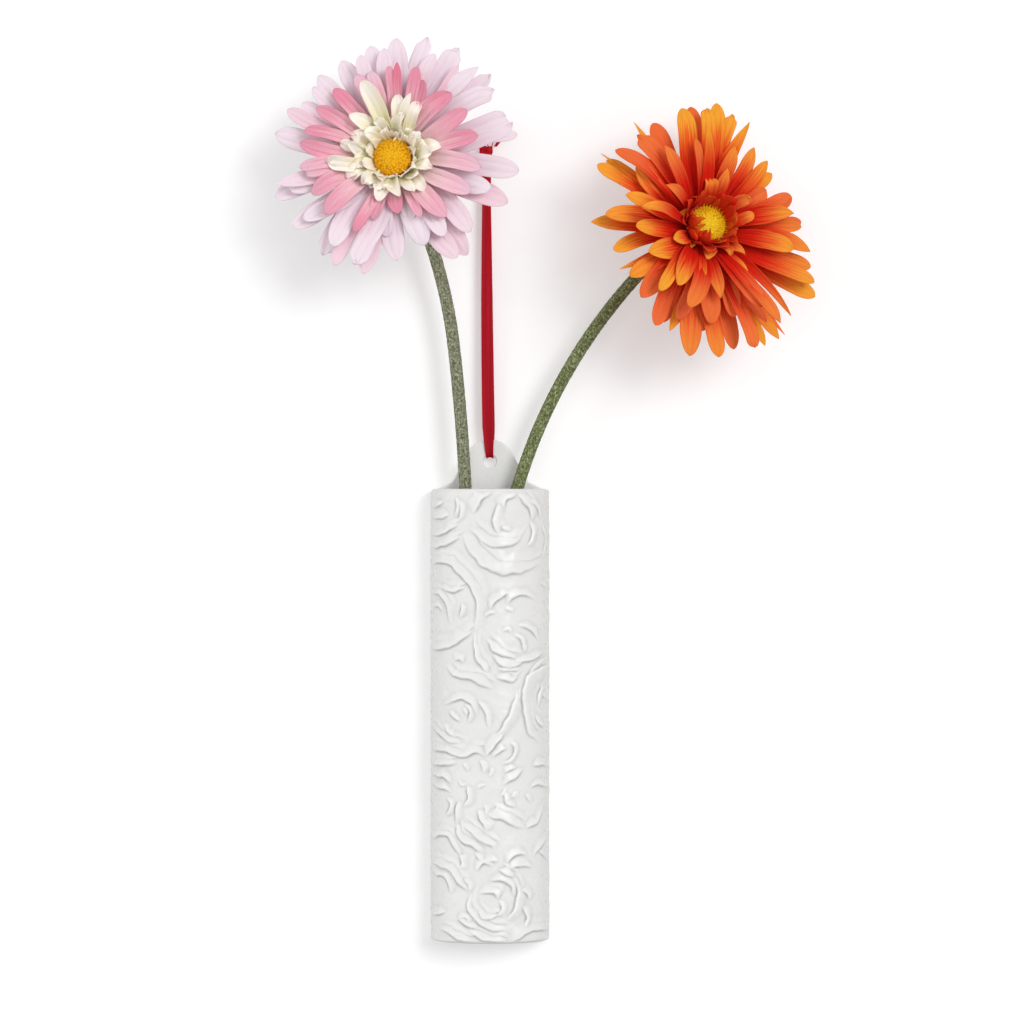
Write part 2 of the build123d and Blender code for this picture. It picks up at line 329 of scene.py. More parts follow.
def porcelain_glaze(colour):
    """White glaze: greyer in the hollows, from pooling and painted shade; lighter on the crests, a painted
    highlight; faintly waved.
    """
    shade = Shade(
        "porcelain glaze", 0.3, Coat_Weight=0.06, Coat_Roughness=0.3, IOR=1.45, Specular_IOR_Level=0.32
    )
    place = shade.coordinates()
    cloud = shade.noise(place, 28.0, 3.0)
    body = shade.mix(shade.grey(cloud, 0.3, 0.7), tinted(colour), tinted(colour, 0.975))
    # Hollows take a greyer colour, partly glaze pooling and partly painted shade; crests take a lighter
    # colour, a painted highlight
    pooled_and_shaded, crest_highlight = tinted(colour, 0.5), tinted(colour, 1.16)
    relief_shade_and_highlight = shade.attribute("relief_shade_and_highlight")
    with_crest_highlight = shade.mix(shade.grey(relief_shade_and_highlight, -1.0, 0.0, 0.9, 0.0), body, crest_highlight)
    shade.link(shade.mix(shade.grey(relief_shade_and_highlight, 0.0, 1.0), with_crest_highlight, pooled_and_shaded), "Base Color")
    wave = shade.bump(shade.noise(place, 160.0, 2.0), 0.25 * MM, 0.35)
    shade.link(shade.bump(shade.noise(place, 900.0, 2.0), 0.03 * MM, 0.15, wave), "Normal")
    speck = shade.noise(place, 420.0, 2.0)
    shade.link(shade.grey(speck, 0.35, 0.7, 0.26, 0.38), "Roughness")
    return shade.material


# Relief: the dark feet of the roses' petals, each as the petal's width and the spots that its foot passes,
# in pixels
FEET = [
    (17, (463, 533), (468, 548), (480, 563), (495, 573), (512, 574), (528, 570), (542, 562)),
    (13, (469, 527), (478, 538), (490, 546), (503, 547), (515, 543), (523, 533)),
    (9, (489, 494), (480, 503), (474, 514)),
    (8, (516, 495), (506, 500), (503, 509)),
    (10, (517, 495), (528, 508), (532, 520)),
    (7, (502, 525), (505, 530), (512, 531)),
    (9, (500, 500), (494, 514), (494, 526), (500, 538)),
    (8, (429, 515), (440, 518), (450, 515)),
    (9, (429, 535), (443, 534), (459, 524)),
    (9, (430, 549), (445, 545), (461, 537)),
    (12, (429, 567), (446, 563), (457, 572), (468, 583), (475, 597), (476, 615), (474, 630)),
    (9, (440, 588), (453, 592), (465, 588)),
    (9, (430, 594), (438, 594), (447, 605), (450, 624)),
    (6, (431, 610), (437, 606), (443, 612)),
    (12, (433, 650), (448, 648), (461, 641), (473, 631)),
    (8, (507, 604), (513, 597), (523, 595), (535, 600)),
    (6, (484, 617), (489, 614), (495, 612)),
    (6, (504, 608), (513, 612)),
    (5, (502, 632), (508, 631), (512, 634)),
    (10, (486, 639), (493, 651), (504, 657), (518, 659)),
    (8, (491, 655), (500, 664), (512, 667), (526, 660)),
    (10, (495, 677), (505, 681), (512, 682), (519, 675)),
    (9, (474, 632), (474, 655), (482, 668), (487, 674)),
    (11, (446, 665), (453, 675), (460, 678), (472, 680), (484, 686), (493, 690)),
    (8, (444, 704), (455, 701), (463, 699), (471, 705), (476, 716)),
    (6, (449, 711), (454, 718), (461, 721)),
    (7, (462, 708), (467, 716)),
    (9, (434, 721), (440, 734), (450, 742), (462, 744)),
    (7, (443, 723), (449, 733), (457, 739)),
    (11, (433, 748), (446, 752), (462, 757), (476, 753), (486, 756)),
    (13, (548, 662), (534, 670), (524, 682), (521, 700), (524, 722), (530, 735), (541, 744)),
    (8, (534, 714), (538, 724), (543, 728)),
    (9, (544, 682), (537, 694), (536, 706)),
    (9, (486, 756), (495, 745), (504, 732)),
    (7, (494, 758), (500, 751), (506, 748)),
    (7, (505, 774), (510, 770), (516, 767)),
    (8, (532, 764), (540, 765), (549, 769)),
    (7, (530, 788), (538, 785), (545, 789)),
    (9, (430, 761), (442, 765), (457, 764)),
    (8, (431, 775), (442, 777), (452, 783)),
    (7, (431, 782), (441, 788), (452, 792)),
    (6, (463, 763), (469, 771)),
    (6, (481, 759), (484, 772)),
    (7, (503, 790), (506, 803), (515, 806)),
    (7, (516, 790), (511, 798)),
    (7, (525, 793), (529, 803)),
    (12, (486, 813), (492, 818), (502, 820), (512, 825), (523, 828)),
    (10, (478, 810), (481, 822), (486, 834)),
    (10, (456, 822), (459, 837), (470, 846), (484, 856)),
    (10, (461, 823), (472, 834), (484, 843), (496, 849)),
    (9, (436, 838), (446, 836), (454, 847), (461, 856)),
    (7, (432, 812), (436, 820)),
    (11, (431, 862), (444, 867), (454, 876), (460, 885), (469, 891)),
    (9, (432, 871), (443, 876), (449, 884), (452, 894)),
    (7, (476, 870), (485, 862), (498, 861)),
    (8, (506, 864), (515, 856), (527, 854)),
    (8, (489, 880), (500, 881), (509, 886), (514, 896)),
    (9, (478, 894), (492, 893), (499, 899)),
    (9, (475, 907), (482, 918), (491, 919), (498, 915)),
    (7, (518, 888), (525, 893), (529, 901)),
    (8, (434, 917), (447, 912)),
    (10, (440, 928), (452, 935), (462, 941), (476, 944)),
    (12, (508, 944), (520, 937), (534, 931), (546, 929)),
    (9, (458, 918), (466, 925), (480, 930)),
    (9, (498, 869), (504, 875), (514, 878)),
    (9, (548, 830), (543, 842), (534, 855)),
    (8, (537, 850), (548, 868)),
    (7, (444, 500), (440, 506), (433, 507)),
    (6, (456, 496), (457, 506), (455, 516)),
    (6, (460, 499), (461, 510), (459, 520)),
    (6, (475, 492), (476, 502)),
    (7, (453, 659), (459, 659), (464, 662)),
    (8, (510, 593), (497, 600), (490, 609)),
    (8, (538, 582), (545, 592), (546, 602)),
    (6, (514, 635), (521, 644), (523, 652)),
    (6, (497, 668), (510, 671), (521, 669)),
    (8, (510, 663), (531, 661), (543, 652)),
    (9, (541, 526), (544, 540), (541, 557)),
    (8, (530, 520), (531, 534), (525, 546)),
    (6, (462, 602), (462, 610), (460, 618)),
    (5, (464, 704), (470, 713), (468, 722)),
    (9, (516, 690), (508, 716), (493, 738)),
    (5, (500, 761), (510, 758), (514, 748), (511, 742)),
    (8, (502, 785), (514, 779), (523, 769)),
    (6, (539, 695), (545, 702)),
    (5, (500, 796), (505, 787)),
    (9, (525, 829), (536, 822), (543, 804)),
    (8, (459, 801), (456, 813), (457, 824)),
    (7, (460, 854), (462, 861), (460, 869)),
    (7, (464, 879), (468, 884), (469, 891)),
    (7, (507, 871), (520, 865), (532, 867)),
    (6, (500, 899), (501, 908), (495, 916)),
    (10, (471, 893), (468, 909), (477, 922), (492, 931), (507, 931)),
    (9, (511, 877), (517, 892), (513, 909), (506, 921)),
    (6, (457, 920), (467, 918), (471, 927)),
    (9, (466, 929), (485, 941), (507, 943)),
    (5, (459, 779), (461, 786), (467, 785)),
    (5, (477, 789), (486, 784)),
    (5, (491, 766), (489, 776)),
    (7, (467, 786), (468, 797), (464, 806)),
    (6, (478, 700), (486, 712), (488, 728)),
    (7, (518, 625), (530, 630), (538, 641)),
    (7, (523, 500), (534, 506), (541, 518)),
    (6, (448, 797), (451, 806), (446, 815)),
    (7, (474, 853), (482, 861), (492, 866)),
    (8, (520, 905), (526, 917), (523, 930)),
]
# The vase's side edges in the photo: a foot that starts or ends beyond one runs on past it
LEFT_EDGE, RIGHT_EDGE, RUN_ON = 437, 544, 6
# Petals at least this many pixels wide have a second, fainter fold behind them
FOLDED_WIDTH = 9
# A short foot's petal is narrower and lower than a long one's
SHORT_FOOT, LONG_FOOT = 3 * MM, 9 * MM
AWAY_FROM_LIGHT = (-0.6, -0.8)
HAND_SHIFT = 0.26 * MM
HAND_SEED, SWELL_SEED = 5, 11
# Shares of a petal's width: where the rise at its foot starts and ends, and its width at its two ends
FOOT_RISE = (-0.05, 0.09)
END_WIDTH = 0.35
# The share of its length over which each end tapers
TAPER = 0.36
# Roses on the vase's sides, which the camera doesn't see: depth below the rim and size, in millimetres
SIDE_ROSES = [(22, 24), (74, 27), (126, 22), (172, 25), (210, 17)]
# Round the bow, in degrees: where they stand, and where they start to show and show in full
SIDE_ROSE_ANGLE = 68
SIDE_FADE = (79, 87)
RING_SHARES = (1.0, 0.78, 0.58, 0.4, 0.24, 0.12)
RING_STEPS = 14
VASE_HEIGHT = 225 * MM
# The relief's skin: what it leaves free at the base and at the rim, how far it stands over the porcelain and
# how deep its back lies in it
BASE_MARGIN, RIM_MARGIN = 0.6 * MM, 1.2 * MM
SKIN_LIFT, SKIN_DEPTH = 0.1 * MM, 0.5 * MM


def smooth_line(points, steps=6):
    """The points, with a few more between them on a smooth curve through them all."""
    points = [np.array(point, dtype=float) for point in points]
    ends = [2 * points[0] - points[1]] + points + [2 * points[-1] - points[-2]]
    smooth = []
    for before, first, last, after in zip(ends, ends[1:], ends[2:], ends[3:]):
        for share in np.arange(steps) / steps:
            smooth.append(
                first
                + 0.5 * share * (last - before)
                + share**2 * (before - 2.5 * first + 2 * last - 0.5 * after)
                + share**3 * (1.5 * (first - last) + 0.5 * (after - before))
            )
    return np.array(smooth + [points[-1]])


def press_petal(relief, across, upwards, line, width, steep, cut=(0, 0), raised=1.0):
    """Raise one petal of the relief: steep on the side that this direction names, falling away behind it.

    Its ends taper, but for those that the vase's edge cuts, which are 1 in cut.
    """
    near = (
        (across > line[:, 0].min() - width)
        & (across < line[:, 0].max() + width)
        & (upwards > line[:, 1].min() - width)
        & (upwards < line[:, 1].max() + width)
    )
    spots = np.stack([across[near], upwards[near]], axis=1)
    if not len(spots):
        return
    best = np.full(len(spots), np.inf)
    side = np.zeros(len(spots))
    along = np.zeros(len(spots))
    count = len(line) - 1
    for index, (start, end) in enumerate(zip(line, line[1:])):
        step = end - start
        share = np.clip(((spots - start) @ step) / (step @ step), 0, 1)
        offset = spots - start - share[:, None] * step
        distance = np.hypot(offset[:, 0], offset[:, 1])
        nearer = distance < best
        best[nearer] = distance[nearer]
        side[nearer] = (offset @ np.array([-step[1], step[0]]))[nearer]
        along[nearer] = ((index + share) / count)[nearer]
    chord = line[-1] - line[0]
    normal = np.array([-chord[1], chord[0]])
    outwards = np.sign(side) * (1 if normal @ np.array(steep) > 0 else -1)
    inside = np.where(outwards < 0, best, -best)
    foot = smooth_step(*(share * width for share in FOOT_RISE), inside)
    ends = np.sin(0.5 * np.pi * np.clip(np.minimum(along + cut[0], 1 - along + cut[1]) / TAPER, 0, 1))
    narrowed = width * (END_WIDTH + (1 - END_WIDTH) * ends)
    fall = 0.5 + 0.5 * np.cos(np.pi * np.clip(inside / narrowed, 0, 1))
    full = 0.55 + 0.45 * min(1.0, width / (6 * MM))
    relief[near] = np.maximum(relief[near], raised * full * foot * fall**0.9 * ends)


def rose_petals(centre, size, start):
    """The feet of one rose's petals, ring by ring towards its heart, each ring turned by the golden angle."""
    for index, share in enumerate(RING_SHARES):
        radius = size * share
        for half in (0, 1):
            first = start + index * GOLDEN_ANGLE + half * math.pi
            angles = first + np.linspace(0, 2.7, RING_STEPS)
            reach = radius * (1 - 0.16 * np.linspace(0, 1, RING_STEPS))
            foot = centre + np.stack([reach * np.cos(angles), reach * np.sin(angles)], axis=1)
            yield foot, 0.2 * size * (0.5 + share)


def bow_spot(column, row, radius, bow_y):
    """Where a pixel of the photo lies on the bow, unrolled: along its curve, and its height."""
    ray = pixel_ray(column, row)
    depth = radius
    for _ in range(3):
        share = (bow_y - depth - CAMERA.y) / ray.y
        x = max(-0.985 * radius, min(0.985 * radius, CAMERA.x + ray.x * share))
        depth = math.sqrt(radius**2 - x**2)
    return radius * math.asin(x / radius), CAMERA.z + ray.z * share


def carve_roses(turn, upwards, radius, bow_y, rim):
    """The relief's height from 0 to 1 over the unrolled bow, from its petals' feet."""
    rng = np.random.default_rng(HAND_SEED)
    shifts = [blurred(rng.normal(0, 1, turn.shape), 40) for _ in range(2)]
    across, upwards = (
        grid + HAND_SHIFT * shift / shift.std() for grid, shift in zip((turn * radius, upwards), shifts)
    )
    relief = np.zeros(turn.shape)
    for width, *pixels in FEET:
        cut = [column < LEFT_EDGE or column > RIGHT_EDGE for column in (pixels[0][0], pixels[-1][0])]
        pixels = [
            (column + RUN_ON * ((column > RIGHT_EDGE) - (column < LEFT_EDGE)), row) for column, row in pixels
        ]
        line = np.array([bow_spot(*pixel, radius, bow_y) for pixel in smooth_line(pixels)])
        long = smooth_step(SHORT_FOOT, LONG_FOOT, np.linalg.norm(line[-1] - line[0]))
        wide, raised = (0.85 + 0.4 * long) * width * PIXEL, 0.45 + 0.55 * long
        press_petal(relief, across, upwards, line, wide, AWAY_FROM_LIGHT, cut, raised)
        if width >= FOLDED_WIDTH:
            fold = line - np.array(AWAY_FROM_LIGHT) * 0.85 * width * PIXEL
            press_petal(relief, across, upwards, fold, 0.75 * width * PIXEL, AWAY_FROM_LIGHT, cut, 0.5)
    sides = np.zeros(turn.shape)
    for sign in (-1, 1):
        for index, (drop, size) in enumerate(SIDE_ROSES):
            centre = np.array([sign * radius * math.radians(SIDE_ROSE_ANGLE), rim - (drop + 9 * sign) * MM])
            for line, width in rose_petals(centre, size * MM, index * 1.3 + sign):
                press_petal(sides, across, upwards, line, width, line.mean(axis=0) - centre)
    return np.maximum(relief, sides * smooth_step(*SIDE_FADE, np.abs(np.degrees(turn))))


def make_relief(settings, glaze):
    """The raised roses, a closed skin over the bow of the tube."""
    low, high = (Vector(corner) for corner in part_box("vase_body"))
    radius = (high.x - low.x) / 2
    bow_y = low.y + radius
    rim = low.z + VASE_HEIGHT
    columns, rows = settings.relief_columns, settings.relief_rows
    turn, upwards = np.meshgrid(
        np.linspace(-math.pi / 2, math.pi / 2, columns + 1),
        np.linspace(low.z + BASE_MARGIN, rim - RIM_MARGIN, rows + 1),
    )
    carved = carve_roses(turn, upwards, radius, bow_y, rim)
    shape = 0.4 * carved + 0.6 * blurred(carved, 1)
    soft = blurred(carved, 10)
    edge = np.minimum(upwards - upwards.min(), upwards.max() - upwards)
    side = np.abs(np.degrees(turn))
    fade = smooth_step(0, 4, 90 - side) * smooth_step(0, MM, edge) * (1 - 0.6 * smooth_step(56, 74, side))
    rng = np.random.default_rng(SWELL_SEED)
    broad, fine = (blurred(rng.normal(0, 1, turn.shape), times) for times in (90, 12))
    swell = 0.2 * broad / broad.std() + 0.07 * fine / fine.std()
    hand = 0.5 + np.clip(swell, -0.5, 0.5) * (1 - smooth_step(50, 70, side))
    height = settings.relief_height * (0.74 * shape + 0.2 * blurred(carved, 70) + 0.42 * hand) * fade
    reach = radius + SKIN_LIFT + height
    front = np.stack([reach * np.sin(turn), bow_y - reach * np.cos(turn), upwards], axis=2)
    inner = radius - SKIN_DEPTH
    back = np.stack([inner * np.sin(turn), bow_y - inner * np.cos(turn), upwards], axis=2)
    skin = grid_piece(columns, rows + 2)
    move_points(skin, np.concatenate([back[:1], front, back[-1:]]))
    # Above 0 the hollows take painted shade in the glaze, below 0 the crests take a painted highlight
    relief_shade_and_highlight = np.clip((soft - shape) / 0.24, -1, 1) * fade * smooth_step(8, 30, 90 - side)
    set_attribute(skin, "relief_shade_and_highlight", np.concatenate([relief_shade_and_highlight[:1], relief_shade_and_highlight, relief_shade_and_highlight[-1:]]).ravel())
    close_back(skin, columns + 1)
    return finish_piece(skin, "rose_relief", "vase", glaze)


def blurred(grid, times):
    """The grid, each value drawn towards its neighbours this many times."""
    for _ in range(times):
        padded = np.pad(grid, 1, mode="edge")
        grid = (4 * grid + padded[2:, 1:-1] + padded[:-2, 1:-1] + padded[1:-1, 2:] + padded[1:-1, :-2]) / 8
    return grid


def close_back(skin, row_length):
    """Bridge the grid's first row to its last, then fill both sides, so that the skin is closed."""
    mesh = skin.data
    select_only(skin)
    last = len(mesh.vertices) - row_length
    for group in (mesh.vertices, mesh.edges, mesh.polygons):
        group.foreach_set("select", np.zeros(len(group), dtype=bool))
    for edge in mesh.edges:
        first, second = edge.vertices
        edge.select = (first < row_length and second < row_length) or (first >= last and second >= last)
    bpy.ops.object.mode_set(mode="EDIT")
    bpy.ops.mesh.select_mode(type="EDGE")
    bpy.ops.mesh.bridge_edge_loops()
    bpy.ops.mesh.select_all(action="SELECT")
    bpy.ops.mesh.fill_holes(sides=0)
    bpy.ops.mesh.select_all(action="SELECT")
    bpy.ops.mesh.normals_make_consistent(inside=False)
    bpy.ops.mesh.select_mode(type="VERT")
    bpy.ops.object.mode_set(mode="OBJECT")


# Ribbon: the hanger's route down the front, through the tab's hole and up the back, in millimetres. It starts
# and ends inside the knot, and leans left of the straight route in the part's source, as the ribbon in the
# photo does.
KNOT_BOTTOM = -13.9 * MM
TAB_TOP = -155.7 * MM
ROUTE_STEPS = 26
BAND_COLUMNS = 10
HANGER_ROUTE = [
    (-1.9, -3.6, -12.6),
    (-1.9, -3.9, -24.0),
    (-1.6, -4.6, -80.0),
    (-1.0, -5.5, -140.0),
    (-0.6, -5.6, -158.0),
    (-0.2, -5.4, -164.9),
    (0.0, -3.0, -164.7),
    (-0.1, -0.6, -164.9),
    (-0.4, -0.5, -158.0),
    (-0.9, -0.6, -140.0),
    (-1.5, -1.3, -80.0),
    (-1.7, -2.2, -24.0),
    (-1.7, -2.4, -12.6),
]


def satin(colour):
    """Woven satin: a fine weave across the ribbon, and painted sheen and painted shade in soft bands along it.
    """
    shade = Shade(
        "red satin", 0.42, Sheen_Weight=0.02, Sheen_Roughness=0.4, Anisotropic=0.5, Specular_IOR_Level=0.08
    )
    place = shade.coordinates()
    weave = shade.noise(shade.stretched(place, (900.0, 900.0, 3200.0)), 1.0, 3.0)
    sheen_bands = shade.noise(shade.stretched(place, (700.0, 60.0, 6.0)), 1.0, 2.0)
    # The bands' darker and lighter colours are painted shade and painted sheen along the ribbon
    dark = tinted(colour, 0.62)
    light = tuple(min(1.0, 1.35 * part + 0.002) for part in colour) + (1.0,)
    base = shade.ramp(shade.grey(sheen_bands, 0.3, 0.7), (0.0, dark), (0.55, tinted(colour)), (1.0, light))
    shade.link(shade.mix(shade.grey(weave, 0.35, 0.75, 0.0, 0.25), base, dark), "Base Color")
    shade.link(shade.bump(weave, 0.08 * MM, 0.6), "Normal")
    return shade.material


def route_spots(name, route):
    """The points that a smooth curve through this route passes, read back from the curve."""
    curve = bpy.data.curves.new(name, "CURVE")
    curve.dimensions = "3D"
    spline = curve.splines.new("NURBS")
    spline.points.add(len(route) - 1)
    for point, place in zip(spline.points, route):
        point.co = (*(value * MM for value in place), 1.0)
    spline.order_u = 3
    spline.use_endpoint_u = True
    spline.resolution_u = ROUTE_STEPS
    guide = bpy.data.objects.new(name, curve)
    bpy.context.scene.collection.objects.link(guide)
    bpy.context.view_layer.update()
    line = bpy.data.meshes.new_from_object(guide.evaluated_get(bpy.context.evaluated_depsgraph_get()))
    spots = np.array([vertex.co[:] for vertex in line.vertices])
    bpy.data.meshes.remove(line)
    bpy.data.objects.remove(guide)
    bpy.data.curves.remove(curve)
    return spots


def make_hanger(settings, fabric):
    """The ribbon's two long strands, one flat band that turns through the hole."""
    spots = route_spots("hanger_route", HANGER_ROUTE)
    widths = [
        (TAB_TOP - 9 * MM, settings.gathered_width),
        (TAB_TOP, 0.86 * settings.width),
        (TAB_TOP + 6 * MM, settings.width),
        (-84 * MM, 0.96 * settings.width),
        (-40 * MM, 0.74 * settings.width),
        (KNOT_BOTTOM, settings.knot_width),
    ]
    half = 0.5 * np.interp(spots[:, 2], *zip(*widths))
    heading = headings_of(spots)
    outwards = np.stack([np.zeros(len(spots)), heading[:, 2], -heading[:, 1]], axis=1)
    band = grid_piece(BAND_COLUMNS, len(spots) - 1)
    share = points_of(band)[: BAND_COLUMNS + 1, 0]
    length = np.concatenate([[0], np.cumsum(np.linalg.norm(np.diff(spots, axis=0), axis=1))])
    wave = 0.12 * MM * np.sin(length / (23 * MM))
    cup = (share**2 - 0.4)[None, :] * (0.1 * MM + 0.5 * (settings.width / 2 - half))[:, None]
    sideways = share[None, :] * half[:, None] + wave[:, None]
    points = spots[:, None, :] + outwards[:, None, :] * cup[:, :, None]
    points[:, :, 0] += sideways
    move_points(band, points)
    apply_modifier(band, "SOLIDIFY", thickness=settings.thickness, offset=0.0)
    finish_piece(band, "ribbon_strands", "ribbon", fabric, ["ribbon_hanger"])
    return band, [tuple(spot) for spot in spots], float(length[-1])


def make_knot(fabric):
    """The flat knot: satin wound round both strands, with the folds of a tight ribbon."""
    low, high = (Vector(corner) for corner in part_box("ribbon_knot"))
    clear_selection()
    bpy.ops.mesh.primitive_cube_add(size=1)
    knot = bpy.context.object
    for _ in range(2):
        bpy.ops.object.mode_set(mode="EDIT")
        bpy.ops.mesh.subdivide(number_cuts=3)
        bpy.ops.object.mode_set(mode="OBJECT")
    place = points_of(knot) * 2
    across, depth, upwards = place.T
    bulge = np.sqrt(np.maximum(0.0, 1 - 0.28 * across**2 - 0.1 * upwards**2))
    folds = 0.05 * np.sin(5.5 * upwards + 2.6 * across) + 0.04 * np.sin(9 * across - 3 * upwards)
    centre, half = (low + high) / 2, (high - low) / 2
    place[:, 0] = centre.x - 2.0 * MM + 0.88 * half.x * across * (1 - 0.06 * upwards**2 + folds * 0.6)
    place[:, 1] = centre.y + half.y * depth * (0.92 * bulge + folds)
    place[:, 2] = centre.z + half.z * upwards * (1 - 0.12 * across**2 + 0.8 * folds)
    move_points(knot, place)
    apply_modifier(knot, "SUBSURF", levels=1, render_levels=1)
    return finish_piece(knot, "ribbon_knot_wound", "ribbon", fabric, ["ribbon_knot"])


def make_ribbon(settings):
    fabric = satin(settings.satin)
    band, spots, length = make_hanger(settings, fabric)
    knot = make_knot(fabric)
    ends = [dress_node(name, fabric) for name in ("ribbon_hook_loop", "ribbon_tails")]


# Stems: where each stands across the vase and the depth below the rim where it starts to bend, then each
# bend's radius and lean in degrees, as the part's source has them
STEM_FROM_WALL = 14 * MM
FOOT_Z = -399.2 * MM
RIM_Z = -180.5 * MM
NECK_RADIUS = 18 * MM
STEM_SPACING = 0.75 * MM
STEM_SIDES = 30
STEM_BENDS = {
    "pink": (-10.8 * MM, 54.5 * MM, [(1104 * MM, -6.5), (250 * MM, -24.0)]),
    "orange": (2.8 * MM, 75.3 * MM, [(268 * MM, 42.0), (70 * MM, 58.0)]),
}
FLOCKS = {
    "pink": ("grey green flock", linear(58, 58, 44), linear(122, 126, 100), linear(184, 188, 158)),
    "orange": ("moss green flock", linear(54, 60, 36), linear(104, 115, 72), linear(178, 184, 138)),
}


def leaning_up(degrees):
    """The direction that leans this far to the right of straight up."""
    lean = math.radians(degrees)
    return Vector((math.sin(lean), 0, math.cos(lean)))


def stem_spots(colour, face):
    """Points up a stem's middle: straight from the well's floor, then arc by arc to the head's neck."""
    foot_x, bend_depth, bends = STEM_BENDS[colour]
    start = Vector((foot_x, -STEM_FROM_WALL, RIM_Z - bend_depth))
    straight = start.z - FOOT_Z
    steps = np.linspace(0, straight, int(straight / STEM_SPACING))
    spots = [Vector((foot_x, -STEM_FROM_WALL, FOOT_Z + step)) for step in steps]
    heading = Vector((0, 0, 1))
    arcs = [(radius, leaning_up(lean)) for radius, lean in bends]
    for radius, target in (*arcs, (NECK_RADIUS, face)):
        turn = heading.angle(target)
        inwards = (target - heading * math.cos(turn)) / math.sin(turn)
        for angle in np.linspace(0, turn, max(8, int(radius * turn / STEM_SPACING)) + 1)[1:]:
            spots.append(start + radius * (math.sin(angle) * heading + (1 - math.cos(angle)) * inwards))
        start, heading = spots[-1], target
    return np.array([spot[:] for spot in spots])


def flock(name, dark, middle, light):
    """Short dense fibres on plastic: a matte, speckled green."""
    shade = Shade(name, 0.95, Sheen_Weight=0.08, Sheen_Roughness=0.6, Specular_IOR_Level=0.15)
    place = shade.coordinates()
    grain = shade.noise(place, 900.0, 4.0, 0.65)
    patch = shade.noise(place, 120.0, 3.0, 0.6)
    fibre = shade.noise(shade.stretched(place, (1.0, 1.0, 0.35)), 1700.0, 3.0, 0.7)
    value = shade.math("ADD", shade.math("MULTIPLY", grain, 0.55), shade.math("MULTIPLY", fibre, 0.45))
    speckled = shade.ramp(shade.grey(value, 0.36, 0.62), (0.0, dark), (0.5, middle), (1.0, light))
    shade.link(shade.mix(shade.grey(patch, 0.35, 0.75, 0.0, 0.3), speckled, dark), "Base Color")
    shade.link(shade.bump(value, 0.5 * MM, 0.9), "Normal")
    return shade.material


def make_stem(colour, settings, material):
    """The flocked tube, bent as the stem is, its surface roughened by the flock."""
    spots = stem_spots(colour, Head(colour).out)
    tube = grid_piece(STEM_SIDES, len(spots) - 1)
    heading = headings_of(spots)
    sideways = np.cross(heading, np.array([0.0, 1.0, 0.0]))
    sideways[np.linalg.norm(sideways, axis=1) < 0.05] = (1.0, 0.0, 0.0)
    for index in range(1, len(spots)):
        carried = sideways[index - 1] - heading[index] * (sideways[index - 1] @ heading[index])
        sideways[index] = carried / np.linalg.norm(carried)
    frontways = np.cross(heading, sideways)
    angles = np.linspace(0, 2 * math.pi, STEM_SIDES + 1)
    rng = np.random.default_rng(settings.seed + len(colour))
    rough = rng.normal(0.0, 0.3, (len(spots), STEM_SIDES + 1))
    rough[:, -1] = rough[:, 0]
    radius = settings.stem_diameter / 2 + 0.1 * MM + settings.flock_depth * np.clip(rough, -0.6, 0.6)
    points = (
        spots[:, None, :]
        + sideways[:, None, :] * (radius * np.cos(angles))[:, :, None]
        + frontways[:, None, :] * (radius * np.sin(angles))[:, :, None]
    )
    move_points(tube, points)
    face_outwards(tube, close_ends=True)
    finish_piece(tube, colour + "_flocked_stem", colour + "_flower", material, [colour + "_stem"])


def steel():
    """Drawn wire: grey, with fine streaks along it."""
    shade = Shade("wire steel", 0.35, Metallic=1.0)
    streak = shade.noise(shade.stretched(shade.coordinates(), (1.0, 1.0, 0.05)), 1500.0)
    dark, light = (0.4, 0.4, 0.41, 1.0), (0.6, 0.6, 0.61, 1.0)
    shade.link(shade.mix(shade.grey(streak, 0.3, 0.7), dark, light), "Base Color")
    return shade.material


# Petals: the kinds of tip, then for each layer the petals that the photo shows: the pixel of the tip,
# the petal's width in pixels, its tone from 0 to 1 and its kind of tip
ROUND, POINTED, RAGGED, SPIKE = range(4)
PINK_BACK = [
    (396, 38, 21, 0.1, ROUND), (370, 45, 20, 0.1, ROUND), (341, 60, 20, 0.15, ROUND),
    (318, 76, 17, 0.1, ROUND), (301, 103, 16, 0.2, ROUND), (275, 133, 22, 0.1, ROUND),
    (275, 196, 19, 0.15, ROUND), (293, 227, 21, 0.15, ROUND), (321, 254, 20, 0.15, RAGGED),
    (334, 265, 15, 0.5, ROUND), (363, 273, 16, 0.4, ROUND), (397, 260, 23, 0.15, ROUND),
    (457, 258, 22, 0.4, ROUND), (467, 254, 20, 0.45, ROUND), (507, 201, 23, 0.5, ROUND),
    (517, 134, 13, 0.2, ROUND), (506, 115, 18, 0.15, RAGGED),
    (513, 122, 21, 0.15, RAGGED), (491, 74, 16, 0.15, RAGGED),
    (458, 47, 20, 0.1, RAGGED), (427, 36, 17, 0.1, RAGGED),
]
PINK_OUTER = [
    (384, 48, 17, 0.15, ROUND), (360, 55, 15, 0.2, ROUND), (312, 87, 15, 0.15, ROUND),
    (287, 110, 15, 0.5, ROUND), (277, 184, 16, 0.25, POINTED), (289, 189, 18, 0.1, ROUND),
    (303, 219, 19, 0.1, ROUND), (332, 246, 22, 0.1, ROUND), (355, 265, 20, 0.15, RAGGED),
    (360, 253, 20, 0.1, ROUND), (386, 236, 18, 0.1, ROUND), (411, 222, 19, 0.1, ROUND),
    (424, 244, 27, 0.05, ROUND), (444, 236, 19, 0.1, ROUND), (471, 231, 21, 0.3, ROUND),
    (491, 189, 20, 0.1, ROUND), (519, 171, 22, 0.2, ROUND), (494, 88, 19, 0.15, RAGGED),
    (478, 66, 18, 0.1, POINTED), (459, 65, 10, 0.6, POINTED), (434, 53, 16, 0.2, ROUND),
]
